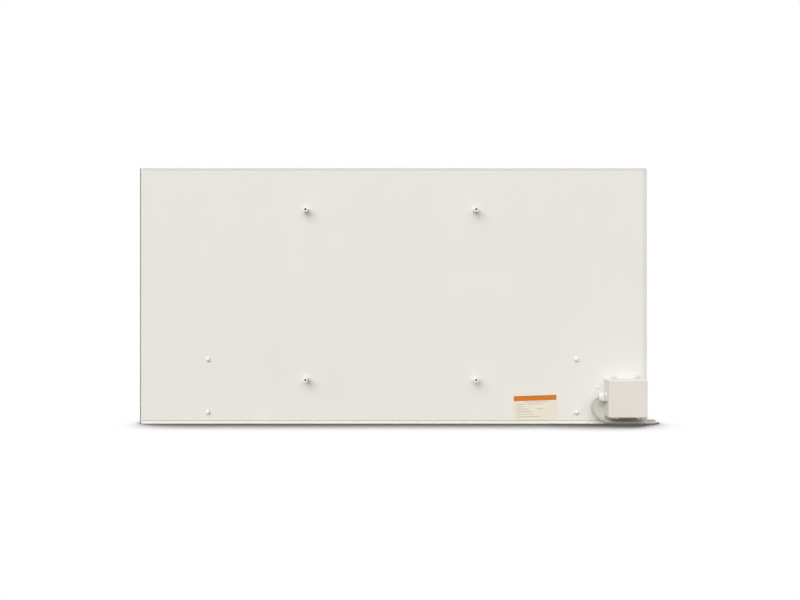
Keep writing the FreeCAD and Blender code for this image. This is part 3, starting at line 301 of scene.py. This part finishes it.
def powder_coat(name, colour, grain=1.1 * MM, depth=0.035 * MM, roughness=0.46, edge=0.5 * MM, corner=None):
    """Powder-coated sheet: a fine orange peel, faint drifts of tone, a painted highlight along its edges and,
    where a corner is given, a painted shade line along it."""
    material, tree, shader = new_finish(name, colour, roughness)
    drift = blend_colours(tree, noise(tree, 260 * MM, detail=3.0), [
        (0.3, scaled(colour, 0.985)), (0.55, colour), (0.75, scaled(colour, 1.012)),
    ])
    # Painted highlight: the coat is brighter within a small radius of every edge.
    tone = mix_colours(tree, edge_mask(tree, edge), drift, scaled(colour, 1.05))
    # Painted shade: a dark line along the given corner.
    if corner:
        tone = mix_colours(tree, painted_shade_line(tree, *corner), tone, scaled(colour, 0.18))
    tree.links.new(tone, shader.inputs["Base Color"])
    patchy = spread(tree, noise(tree, 60 * MM, detail=2.0), roughness - 0.05, roughness + 0.06)
    tree.links.new(patchy, shader.inputs["Roughness"])
    peel = noise(tree, grain, detail=2.0, rough=0.55)
    raise_surface(tree, shader, peel, depth, edge)
    shader.inputs["Specular IOR Level"].default_value = 0.2
    return material


def moulded_plastic(name, colour, grain=0.5 * MM, depth=0.02 * MM, roughness=0.5, edge=0.4 * MM):
    """Moulded plastic with a fine spark-eroded skin and slight flow marks."""
    material, tree, shader = new_finish(name, colour, roughness)
    flow = mottled(tree, noise(tree, 35 * MM, detail=3.0, stretch=(1.0, 1.0, 0.4)), colour, 0.97)
    # Darker within a small radius of every edge, convex and concave.
    edge_darkened = mix_colours(tree, edge_mask(tree, 1.2 * edge), flow, scaled(colour, 0.93))
    tree.links.new(edge_darkened, shader.inputs["Base Color"])
    patchy = spread(tree, noise(tree, 9 * MM, detail=2.0), roughness - 0.06, roughness + 0.06)
    tree.links.new(patchy, shader.inputs["Roughness"])
    skin = cells(tree, grain)["Distance"]
    raise_surface(tree, shader, skin, depth, edge)
    shader.inputs["Specular IOR Level"].default_value = 0.25
    return material


def plated_steel(name, colour, roughness=0.32):
    """Zinc plating: a soft sparkle of crystals under faint drawn lines."""
    material, tree, shader = new_finish(name, colour, roughness, metallic=1.0)
    spangle = cells(tree, 1.6 * MM)["Color"]
    grey = add_node(tree, "ShaderNodeRGBToBW", {"Color": spangle}).outputs["Val"]
    tone = blend_colours(tree, grey, [(0.2, scaled(colour, 0.88)), (0.8, colour)])
    tree.links.new(tone, shader.inputs["Base Color"])
    lines = noise(tree, 0.4 * MM, detail=3.0, stretch=(0.08, 1.0, 1.0))
    tree.links.new(spread(tree, lines, roughness - 0.08, roughness + 0.12), shader.inputs["Roughness"])
    raise_surface(tree, shader, lines, 0.006 * MM, 0.2 * MM)
    return material


def bare_aluminium(name, colour, roughness=0.38):
    """Bare aluminium with a cast or drawn skin."""
    material, tree, shader = new_finish(name, colour, roughness, metallic=1.0)
    tone = mottled(tree, noise(tree, 6 * MM, detail=4.0), colour, 0.9)
    tree.links.new(tone, shader.inputs["Base Color"])
    skin = noise(tree, 0.5 * MM, detail=3.0)
    tree.links.new(spread(tree, skin, roughness - 0.06, roughness + 0.1), shader.inputs["Roughness"])
    raise_surface(tree, shader, skin, 0.01 * MM, 0.3 * MM)
    return material


def crinkled_foil(name, colour):
    """Reflector foil: bright, with creases from handling."""
    material, tree, shader = new_finish(name, colour, 0.22, metallic=1.0)
    creases = cells(tree, 22 * MM, feature="DISTANCE_TO_EDGE")["Distance"]
    sharp = spread(tree, noise(tree, 14 * MM, detail=3.0), 0.14, 0.32)
    tree.links.new(sharp, shader.inputs["Roughness"])
    raise_surface(tree, shader, creases, 0.25 * MM)
    return material


def bare_copper(name, colour):
    """Copper strip with a little tarnish."""
    material, tree, shader = new_finish(name, colour, 0.3, metallic=1.0)
    tarnish = blend_colours(tree, noise(tree, 8 * MM, detail=4.0), [
        (0.35, COPPER_TARNISH), (0.6, colour), (0.8, COPPER_SHINE),
    ])
    tree.links.new(tarnish, shader.inputs["Base Color"])
    rolled = noise(tree, 0.3 * MM, detail=2.0, stretch=(0.04, 1.0, 1.0))
    raise_surface(tree, shader, rolled, 0.005 * MM)
    return material


def brass(name, colour):
    """Turned brass."""
    material, tree, shader = new_finish(name, colour, 0.3, metallic=1.0)
    tone = mottled(tree, noise(tree, 3 * MM, detail=3.0), colour, 0.8)
    tree.links.new(tone, shader.inputs["Base Color"])
    turning = noise(tree, 0.2 * MM, detail=2.0, stretch=(1.0, 0.1, 0.1))
    raise_surface(tree, shader, turning, 0.006 * MM, 0.15 * MM)
    return material


def carbon_film(name, colour, stripe):
    """Carbon heating layer printed in stripes under clear film."""
    material, tree, shader = new_finish(name, colour, 0.28)
    wave = add_node(tree, "ShaderNodeTexWave", {
        "Vector": object_place(tree), "Scale": 0.5 / stripe, "Distortion": 0.0, "Detail": 0.0,
    }, wave_type="BANDS", bands_direction="X").outputs["Fac"]
    stripes = blend_colours(tree, wave, [(0.4, colour), (0.6, CARBON_GAP)])
    tree.links.new(stripes, shader.inputs["Base Color"])
    raise_surface(tree, shader, noise(tree, 1.5 * MM, detail=3.0), 0.02 * MM)
    shader.inputs["Coat Weight"].default_value = 0.6
    shader.inputs["Coat Roughness"].default_value = 0.12
    return material


def pressed_mica(name, colour):
    """Pressed mica: flat flakes of brown and silver."""
    material, tree, shader = new_finish(name, colour, 0.35)
    flakes = add_node(tree, "ShaderNodeRGBToBW", {"Color": cells(tree, 5 * MM)["Color"]}).outputs["Val"]
    tone = blend_colours(tree, flakes, [
        (0.2, scaled(colour, 0.7)), (0.55, colour), (0.85, MICA_SILVER),
    ])
    tree.links.new(tone, shader.inputs["Base Color"])
    raise_surface(tree, shader, flakes, 0.06 * MM)
    return material


def mineral_fibre(name, colour):
    """Mineral board: short fibres in drifts."""
    material, tree, shader = new_finish(name, colour, 0.95)
    fibres = noise(tree, 0.7 * MM, detail=6.0, stretch=(0.25, 1.0, 1.0), rough=0.7)
    tone = mottled(tree, fibres, colour, 0.6)
    tree.links.new(tone, shader.inputs["Base Color"])
    raise_surface(tree, shader, fibres, 0.5 * MM)
    shader.inputs["Sheen Weight"].default_value = 0.3
    return material


def soft_rubber(name, colour):
    """Matte rubber with a dusty bloom."""
    material, tree, shader = new_finish(name, colour, 0.75)
    bloom = blend_colours(tree, noise(tree, 4 * MM, detail=4.0), [(0.35, colour), (0.75, RUBBER_BLOOM)])
    tree.links.new(bloom, shader.inputs["Base Color"])
    raise_surface(tree, shader, noise(tree, 0.4 * MM, detail=3.0), 0.03 * MM, 0.2 * MM)
    return material


def fired_ceramic(name, colour):
    """Fine unglazed ceramic with small specks."""
    material, tree, shader = new_finish(name, colour, 0.6)
    specks = cells(tree, 0.9 * MM)["Distance"]
    tone = blend_colours(tree, specks, [(0.05, scaled(colour, 0.6)), (0.2, colour)])
    tree.links.new(tone, shader.inputs["Base Color"])
    raise_surface(tree, shader, noise(tree, 0.3 * MM, detail=3.0), 0.02 * MM, 0.2 * MM)
    return material


def wire_insulation(name, colour, second=None):
    """Wire insulation, plain or with a second colour in a stripe along it."""
    material, tree, shader = new_finish(name, colour, 0.38)
    if second:
        spiral = add_node(tree, "ShaderNodeTexWave", {
            "Vector": object_place(tree), "Scale": 0.5 / EARTH_STRIPE, "Distortion": 0.0, "Detail": 0.0,
        }, wave_type="BANDS", bands_direction="DIAGONAL").outputs["Fac"]
        tone = blend_colours(tree, spiral, [(0.45, colour), (0.55, second)])
    else:
        tone = mottled(tree, noise(tree, 12 * MM, detail=2.0), colour, 0.85)
    tree.links.new(tone, shader.inputs["Base Color"])
    raise_surface(tree, shader, noise(tree, 0.6 * MM, detail=2.0), 0.01 * MM)
    return material


def flex_sheath(name, colour):
    """White flex: a soft satin sheath with slight ripples from the cores and a little handling dirt."""
    material, tree, shader = new_finish(name, colour, 0.42)
    handled = blend_colours(tree, noise(tree, 30 * MM, detail=4.0), [
        (0.3, scaled(colour, 0.9)), (0.6, colour), (0.8, scaled(colour, 1.02)),
    ])
    tree.links.new(handled, shader.inputs["Base Color"])
    tree.links.new(spread(tree, noise(tree, 10 * MM, detail=2.0), 0.36, 0.5), shader.inputs["Roughness"])
    raise_surface(tree, shader, noise(tree, 2.5 * MM, detail=3.0), 0.05 * MM)
    shader.inputs["Specular IOR Level"].default_value = 0.25
    return material


def sticker_film(name, colour):
    """Printed sticker: satin film over paper, a little uneven where it is stuck down."""
    material, tree, shader = new_finish(name, colour, 0.4)
    paper = mottled(tree, noise(tree, 18 * MM, detail=3.0), colour, 0.96)
    tree.links.new(paper, shader.inputs["Base Color"])
    raise_surface(tree, shader, noise(tree, 9 * MM, detail=3.0), 0.06 * MM)
    shader.inputs["Coat Weight"].default_value = 0.2
    return material


def printing_ink(name, colour):
    """Ink on the sticker, with the fine unevenness of a print."""
    material, tree, shader = new_finish(name, colour, 0.42)
    dots = mottled(tree, noise(tree, 1.2 * MM, detail=3.0), colour, 0.9)
    tree.links.new(dots, shader.inputs["Base Color"])
    raise_surface(tree, shader, noise(tree, 9 * MM, detail=3.0), 0.06 * MM)
    return material


def nickel_plate(name, colour):
    """Nickel plate, bright with fine wear lines along the pins."""
    material, tree, shader = new_finish(name, colour, 0.16, metallic=1.0)
    wear = noise(tree, 0.5 * MM, detail=3.0, stretch=(0.06, 1.0, 1.0))
    tree.links.new(spread(tree, wear, 0.1, 0.26), shader.inputs["Roughness"])
    tone = mottled(tree, noise(tree, 7 * MM, detail=3.0), colour, 0.92)
    tree.links.new(tone, shader.inputs["Base Color"])
    raise_surface(tree, shader, wear, 0.004 * MM, 0.2 * MM)
    return material


def dress(material, *names):
    """Give a finish to nodes of the frame, which keep their shape."""
    for name in names:
        mesh = NODES[name].data
        mesh.materials.clear()
        mesh.materials.append(material)


def nodes_named(start):
    """The frame's nodes whose names begin in one way."""
    return sorted(name for name in NODES if name.startswith(start))


# Mesh helpers


def slab(mesh, centre, size, place):
    """Add a thin closed slab to a bmesh, and put it in place."""
    corners = bmesh.ops.create_cube(mesh, size=1.0)["verts"]
    bmesh.ops.scale(mesh, verts=corners, vec=size)
    bmesh.ops.translate(mesh, verts=corners, vec=centre)
    bmesh.ops.transform(mesh, verts=corners, matrix=place)


def make_piece(name, mesh, *materials):
    """An object at the origin from a bmesh, with its materials."""
    data = bpy.data.meshes.new(name)
    bmesh.ops.recalc_face_normals(mesh, faces=mesh.faces)
    mesh.to_mesh(data)
    mesh.free()
    piece = bpy.data.objects.new(name, data)
    for material in materials:
        data.materials.append(material)
    bpy.context.scene.collection.objects.link(piece)
    return piece


# Settings


def colour_property(name, description, default):
    """A colour that the sidebar shows."""
    return bpy.props.FloatVectorProperty(
        name=name, description=description, default=default, size=3, min=0.0, max=1.0, subtype="COLOR",
    )


class HeaterColours(bpy.types.PropertyGroup):
    """Colours of the heater's finishes, as linear values."""

    cover: colour_property("Rear cover", "Powder coat on the rear cover", (0.78, 0.773, 0.765))
    profile: colour_property("Frame", "Powder coat on the frame's profiles", (0.8, 0.79, 0.76))
    front: colour_property("Front", "Coating of the radiating face", (0.8, 0.8, 0.785))
    box: colour_property("Box", "Moulding of the connection box", (0.715, 0.7, 0.672))
    lid: colour_property("Lid", "Moulding of the box's lid", (0.745, 0.708, 0.684))
    gland: colour_property("Gland", "Moulding of the cable gland", (0.77, 0.735, 0.72))
    cap: colour_property("Foot plugs", "Moulding of the domed plugs", (0.86, 0.85, 0.81))
    sticker: colour_property("Label", "Paper of the label", (0.8, 0.745, 0.65))
    band: colour_property("Label band", "Ink of the label's band", (0.62, 0.175, 0.004))
    rules: colour_property("Label rules", "Ink of the label's rules", (0.5, 0.46, 0.39))
    flex: colour_property("Flex", "Sheath of the flex and the plug", (0.6, 0.585, 0.545))


class FlexSizes(bpy.types.PropertyGroup):
    """Sizes of the flex and of the coil that its spare length is put away in."""

    diameter: bpy.props.FloatProperty(
        name="Diameter", description="Outside of the sheath", default=6.6 * MM, min=MM, unit="LENGTH",
    )
    length: bpy.props.FloatProperty(
        name="Length", description="From the gland to the plug", default=1.82, min=0.1, unit="LENGTH",
    )
    coil_radius: bpy.props.FloatProperty(
        name="Coil radius", description="Middle of the outermost half turn", default=48 * MM, unit="LENGTH",
    )
    pitch: bpy.props.FloatProperty(
        name="Pitch", description="From one turn or layer to the next", default=7.2 * MM, unit="LENGTH",
    )
    turns_in: bpy.props.IntProperty(
        name="Turns in", description="Turns that spiral in before the flex climbs a layer", default=3, min=1,
    )
    points: bpy.props.IntProperty(
        name="Points", description="Points of the line in each half turn", default=9, min=6,
    )


class LabelSizes(bpy.types.PropertyGroup):
    """Sizes of the print on the label."""

    tilt: bpy.props.FloatProperty(
        name="Tilt", description="How far the label is stuck on askew", default=math.radians(2),
        subtype="ANGLE",
    )
    height: bpy.props.FloatProperty(
        name="Height", description="Height of the label", default=59 * MM, unit="LENGTH",
    )
    band_height: bpy.props.FloatProperty(
        name="Band height", description="Height of the band", default=12 * MM, unit="LENGTH",
    )
    band_width: bpy.props.FloatProperty(
        name="Band width", description="Length of the band", default=101 * MM, unit="LENGTH",
    )
    margin: bpy.props.FloatProperty(
        name="Margin", description="Bare rim above the band", default=1.2 * MM, unit="LENGTH",
    )
    rule: bpy.props.FloatProperty(
        name="Rule", description="Thickness of a rule", default=1.3 * MM, unit="LENGTH",
    )
    ink: bpy.props.FloatProperty(
        name="Ink", description="How far the print stands on the film", default=0.06 * MM, unit="LENGTH",
    )


class StageSettings(bpy.types.PropertyGroup):
    """The camera and the lights."""

    eye: bpy.props.FloatVectorProperty(
        name="Eye", description="Place of the camera", default=(0.0153, -1.988, 0.2927),
        subtype="TRANSLATION",
    )
    lens: bpy.props.FloatProperty(
        name="Lens", description="Focal length on a 36 mm sensor", default=38.03, min=10.0,
    )
    ambient: bpy.props.FloatProperty(
        name="Ambient", description="Light from all round", default=0.12, min=0.0,
    )
    key: bpy.props.FloatProperty(
        name="Key", description="Strength of the soft light from above on the left", default=2.4, min=0.0,
    )
    fill: bpy.props.FloatProperty(
        name="Fill", description="Strength of the soft light from above on the right", default=1.1, min=0.0,
    )
    back: bpy.props.FloatProperty(
        name="Back", description="Strength of the soft light on the radiating side", default=2.6, min=0.0,
    )
    softness: bpy.props.FloatProperty(
        name="Softness", description="How wide the lights look", default=math.radians(55), subtype="ANGLE",
    )
    floor_half: bpy.props.FloatProperty(
        name="Floor", description="Half the side of the floor", default=14.0, min=1.0, unit="LENGTH",
    )
    shadow_reach: bpy.props.FloatProperty(
        name="Shadow", description="How far the soft shadow reaches over the floor", default=0.165,
        unit="LENGTH",
    )


# Pieces


class HEATER_OT_coat_panel(bpy.types.Operator):
    """Coat the frame, the rear cover and the radiating face"""

    bl_idname = "heater.coat_panel"
    bl_label = "Coat panel"

    def execute(self, context):
        colours = context.scene.heater_colours
        low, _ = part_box("frame_left")
        # Painted shade: a dark line along the left profile's outer corner.
        corner = (low.x, low.y, PAINTED_SHADE_LINE_WIDTH)
        # Painted light and shade: each profile's coat is lighter on the left and bottom and darker on the top
        # and right.
        for side, tone in FRAME_PAINTED_LIGHT.items():
            colour = scaled(colours.profile, tone, BRIGHTEST_COAT)
            line = corner if side == "left" else None
            coat = powder_coat(f"frame_{side}_coat", colour, edge=0.7 * MM, corner=line)
            dress(coat, f"frame_{side}")
        dress(powder_coat("cover_coat", colours.cover), "rear_cover")
        front = powder_coat("radiant_coat", colours.front, grain=0.8 * MM, depth=0.06 * MM, roughness=0.6)
        dress(front, "front_panel")
        white = scaled(colours.cover, POST_TONE, BRIGHTEST_COAT)
        post = powder_coat("post_coat", white, grain=0.6 * MM, depth=0.02 * MM, roughness=0.36)
        dress(post, *nodes_named("wall_bush"))
        return {"FINISHED"}


class HEATER_OT_finish_hardware(bpy.types.Operator):
    """Plate the screws, nuts and rivet, and mould the foot plugs"""

    bl_idname = "heater.finish_hardware"
    bl_label = "Finish hardware"

    def execute(self, context):
        colours = context.scene.heater_colours
        dress(plated_steel("zinc_plate", ZINC), "foot_nuts", "bush_plates", "cutout_bracket",
              "earth_stud", "earth_nut")
        dress(plated_steel("screw_plate", SCREW_ZINC, roughness=0.3), "box_screws", "lid_screws",
              "corner_screws", "terminal_screws")
        dress(bare_aluminium("rivet_metal", RIVET_ALUMINIUM), "cutout_rivet")
        dress(bare_aluminium("key_casting", CAST_ALUMINIUM, roughness=0.5), *nodes_named("corner_key"))
        dress(moulded_plastic("cap_moulding", colours.cap, grain=0.4 * MM, roughness=0.4), "foot_plugs")
        return {"FINISHED"}


class HEATER_OT_finish_box(bpy.types.Operator):
    """Mould the connection box, its lid and the cable gland"""

    bl_idname = "heater.finish_box"
    bl_label = "Finish box"

    def execute(self, context):
        colours = context.scene.heater_colours
        dress(moulded_plastic("box_moulding", colours.box, edge=0.8 * MM), "junction_box")
        dress(moulded_plastic("lid_moulding", colours.lid, edge=0.8 * MM), "box_lid")
        gland = moulded_plastic("gland_moulding", colours.gland, grain=0.3 * MM, roughness=0.38)
        dress(gland, "gland_body", "gland_nut", "gland_locknut", "gland_washer")
        dress(soft_rubber("seal_rubber", BLACK_RUBBER), "gland_seal", "grommet")
        return {"FINISHED"}


class HEATER_OT_finish_inside(bpy.types.Operator):
    """Finish the heating sandwich, the terminals, the cut-out and the wires"""

    bl_idname = "heater.finish_inside"
    bl_label = "Finish inside"

    def execute(self, context):
        dress(carbon_film("carbon_layer", CARBON, CARBON_STRIPE), "heating_film")
        dress(bare_copper("copper_strip", COPPER), "busbar_live", "busbar_neutral")
        dress(pressed_mica("mica_flakes", MICA), "mica_sheet")
        dress(crinkled_foil("bright_foil", FOIL), "reflector_foil")
        dress(mineral_fibre("board_fibre", MINERAL_BOARD), "insulation_board")
        dress(moulded_plastic("terminal_moulding", TERMINAL_PLASTIC, grain=0.4 * MM), "terminal_block")
        dress(brass("terminal_brass", TERMINAL_BRASS), "terminal_sleeves", "earth_lug")
        dress(fired_ceramic("cutout_ceramic", CERAMIC), "thermal_cutout")
        dress(wire_insulation("brown_wire", BROWN), "core_live", "live_wire", "live_film_wire")
        dress(wire_insulation("blue_wire", BLUE), "core_neutral", "neutral_wire")
        earth = wire_insulation("earth_wire", YELLOW, second=GREEN)
        dress(earth, "core_earth", "earth_wire")
        return {"FINISHED"}


class HEATER_OT_print_label(bpy.types.Operator):
    """Print a plain band and rules on the label"""

    bl_idname = "heater.print_label"
    bl_label = "Print label"

    def execute(self, context):
        colours = context.scene.heater_colours
        sizes = context.scene.heater_label
        dress(sticker_film("label_film", colours.sticker), "rating_label")
        low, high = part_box("rating_label")
        middle = (low + high) / 2
        middle.y = low.y - 0.4 * sizes.ink
        place = Matrix.Translation(middle) @ Euler((0.0, -sizes.tilt, 0.0)).to_matrix().to_4x4()
        mesh = bmesh.new()
        band_z = sizes.height / 2 - sizes.margin - sizes.band_height / 2
        slab(mesh, (0.0, 0.0, band_z), (sizes.band_width, sizes.ink, sizes.band_height), place)
        band_faces = len(mesh.faces)
        for height, left, length in LABEL_RULES:
            centre = ((left + length / 2) * MM, 0.0, height * MM)
            slab(mesh, centre, (length * MM, sizes.ink, sizes.rule), place)
        for index, face in enumerate(mesh.faces):
            face.material_index = 0 if index < band_faces else 1
        band = printing_ink("band_ink", colours.band)
        rules = printing_ink("rule_ink", colours.rules)
        piece = make_piece("label_print", mesh, band, rules)
        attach(piece, BODY)
        return {"FINISHED"}


def coil_points(sizes, begin):
    """Points of the coil's half turns, which spiral in, climb a layer, and spiral out again."""
    halves_in = 2 * sizes.turns_in
    radii = [sizes.coil_radius - sizes.pitch / 2 * step for step in range(halves_in + 1)]
    radii += radii[-2:0:-1]
    point = Vector(begin) + Vector((-sizes.diameter, 0.0, 0.0))
    points = [point.copy()]
    for step, radius in enumerate(radii):
        way = 1.0 if step % 2 == 0 else -1.0
        climb = sizes.pitch if step == halves_in else 0.0
        centre = point + Vector((0.0, way * radius, 0.0))
        for index in range(1, sizes.points + 1):
            share = index / sizes.points
            angle = math.pi * share
            rise = climb * (1.0 - math.cos(angle)) / 2
            across = way * radius * math.sin(angle)
            away = way * radius * math.cos(angle)
            points.append(centre + Vector((-across, -away, rise)))
        point = points[-1].copy()
    return points


class HEATER_OT_lay_flex(bpy.types.Operator):
    """Lay the flex from the gland to the plug, with its spare length coiled behind the panel"""

    bl_idname = "heater.lay_flex"
    bl_label = "Lay flex"

    def execute(self, context):
        colours = context.scene.heater_colours
        sizes = context.scene.heater_flex
        route = [Vector(point) for point in LEAD_ROUTE]
        route += coil_points(sizes, LEAD_ROUTE[-1])
        route += [Vector(point) for point in TAIL_ROUTE]
        line = bpy.data.curves.new("flex", "CURVE")
        line.dimensions = "3D"
        line.bevel_depth = sizes.diameter / 2
        line.bevel_resolution = 6
        line.resolution_u = 6
        line.use_fill_caps = True
        spline = line.splines.new("NURBS")
        spline.points.add(len(route) - 1)
        for point, place in zip(spline.points, route):
            point.co = (*place, 1.0)
        spline.order_u = 3
        spline.use_endpoint_u = True
        flex = bpy.data.objects.new("flex", line)
        context.scene.collection.objects.link(flex)
        sheath = flex_sheath("flex_sheath", colours.flex)
        line.materials.append(sheath)
        dress(sheath, "flex_entry", "flex_lead", "flex_coil", "flex_tail")
        plug = moulded_plastic("plug_moulding", colours.flex, grain=0.6 * MM, depth=0.03 * MM, roughness=0.48)
        dress(plug, "plug_body")
        dress(nickel_plate("pin_plate", NICKEL), "plug_pins", "plug_earth_clips")
        dress(moulded_plastic("tie_strap", TIE_PLASTIC, grain=0.8 * MM, roughness=0.42), "cord_tie")
        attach(flex, BODY)
        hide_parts("flex_lead", "flex_coil", "flex_tail")
        return {"FINISHED"}


# Stage


def seen_directly(tree):
    """1 for rays from the camera, in reflections and through glass, and 0 for light that falls on things."""
    path = add_node(tree, "ShaderNodeLightPath").outputs
    either = add_node(tree, "ShaderNodeMath", {0: path["Is Camera Ray"], 1: path["Is Glossy Ray"]},
                      operation="MAXIMUM").outputs["Value"]
    return add_node(tree, "ShaderNodeMath", {0: either, 1: path["Is Transmission Ray"]},
                    operation="MAXIMUM").outputs["Value"]


def white_floor(reach):
    """A floor that looks white, apart from the soft shadow of what stands on it."""
    material = bpy.data.materials.new("white_floor")
    material.use_nodes = True
    tree = material.node_tree
    tree.nodes.clear()
    wide = add_node(tree, "ShaderNodeAmbientOcclusion", {"Distance": reach}, samples=24)
    clear = ramp_between(tree, wide.outputs["AO"], SHADOW_DEEPEST, SHADOW_GONE)
    shade = mix_colours(tree, clear, SHADOW_TONE, WHITE)
    touch = add_node(tree, "ShaderNodeAmbientOcclusion", {"Distance": reach * TOUCH_SHARE}, samples=16)
    close = ramp_between(tree, touch.outputs["AO"], TOUCH_DEEPEST, TOUCH_GONE, low=TOUCH_TONE)
    shown = add_node(tree, "ShaderNodeEmission", {"Color": shade, "Strength": close})
    lit = add_node(tree, "ShaderNodeBsdfDiffuse", {"Color": (*FLOOR_BOUNCE, 1.0)})
    mixed = add_node(tree, "ShaderNodeMixShader", {0: seen_directly(tree)})
    tree.links.new(lit.outputs["BSDF"], mixed.inputs[1])
    tree.links.new(shown.outputs["Emission"], mixed.inputs[2])
    output = add_node(tree, "ShaderNodeOutputMaterial")
    tree.links.new(mixed.outputs["Shader"], output.inputs["Surface"])
    return material


def white_world(ambient):
    """White all round where it is seen, and a dimmer even light on things."""
    world = bpy.data.worlds.new("white_room")
    world.use_nodes = True
    tree = world.node_tree
    inputs = {"Value": seen_directly(tree), "To Min": ambient, "To Max": 1.0}
    strength = add_node(tree, "ShaderNodeMapRange", inputs)
    background = tree.nodes["Background"]
    background.inputs["Color"].default_value = (*WHITE, 1.0)
    tree.links.new(strength.outputs["Result"], background.inputs["Strength"])
    return world


def soft_lamp(name, heading, strength, softness):
    """Even light that travels in one direction, as wide as a large lamp far away."""
    lamp = bpy.data.lights.new(name, "SUN")
    lamp.energy = strength
    lamp.angle = softness
    holder = bpy.data.objects.new(name, lamp)
    holder.rotation_euler = Vector(heading).to_track_quat("-Z", "Y").to_euler()
    bpy.context.scene.collection.objects.link(holder)


class HEATER_OT_set_stage(bpy.types.Operator):
    """Set the white floor, the soft lamps and the camera"""

    bl_idname = "heater.set_stage"
    bl_label = "Set stage"

    def execute(self, context):
        scene = context.scene
        settings = scene.heater_stage
        scene.view_settings.view_transform = "Standard"
        scene.world = white_world(settings.ambient)
        mesh = bmesh.new()
        bmesh.ops.create_grid(mesh, x_segments=1, y_segments=1, size=settings.floor_half)
        floor = make_piece("floor", mesh, white_floor(settings.shadow_reach))
        soft_lamp("key_lamp", KEY_HEADING, settings.key, settings.softness)
        soft_lamp("fill_lamp", FILL_HEADING, settings.fill, settings.softness)
        soft_lamp("back_lamp", BACK_HEADING, settings.back, settings.softness)
        lens = bpy.data.cameras.new("camera")
        lens.sensor_fit = "HORIZONTAL"
        lens.sensor_width = SENSOR_WIDTH
        lens.lens = settings.lens
        camera = bpy.data.objects.new("camera", lens)
        camera.location = settings.eye
        camera.rotation_euler = (math.radians(90), 0.0, 0.0)
        scene.collection.objects.link(camera)
        scene.camera = camera
        return {"FINISHED"}


STEPS = (
    HEATER_OT_coat_panel,
    HEATER_OT_finish_hardware,
    HEATER_OT_finish_box,
    HEATER_OT_finish_inside,
    HEATER_OT_print_label,
    HEATER_OT_lay_flex,
    HEATER_OT_set_stage,
)
SETTINGS = {
    "heater_colours": HeaterColours,
    "heater_flex": FlexSizes,
    "heater_label": LabelSizes,
    "heater_stage": StageSettings,
}


class HEATER_PT_looks(bpy.types.Panel):
    """The heater's settings and steps"""

    bl_idname = "HEATER_PT_looks"
    bl_label = "Panel heater"
    bl_space_type = "VIEW_3D"
    bl_region_type = "UI"
    bl_category = "Heater"

    def draw(self, context):
        for name, group in SETTINGS.items():
            box = self.layout.box()
            box.label(text=group.__doc__)
            for setting in group.__annotations__:
                box.prop(getattr(context.scene, name), setting)
        for step in STEPS:
            self.layout.operator(step.bl_idname)


CLASSES = (*SETTINGS.values(), *STEPS, HEATER_PT_looks)


def register():
    """Add the settings, the steps and the panel to Blender."""
    for item in CLASSES:
        bpy.utils.register_class(item)
    for name, group in SETTINGS.items():
        setattr(bpy.types.Scene, name, bpy.props.PointerProperty(type=group))


def unregister():
    """Take them out again."""
    for name in SETTINGS:
        delattr(bpy.types.Scene, name)
    for item in reversed(CLASSES):
        bpy.utils.unregister_class(item)


def main():
    """Make the whole scene."""
    register()
    bpy.ops.heater.coat_panel()
    bpy.ops.heater.finish_hardware()
    bpy.ops.heater.finish_box()
    bpy.ops.heater.finish_inside()
    bpy.ops.heater.print_label()
    bpy.ops.heater.lay_flex()
    bpy.ops.heater.set_stage()


if __name__ == "__main__":
    main()
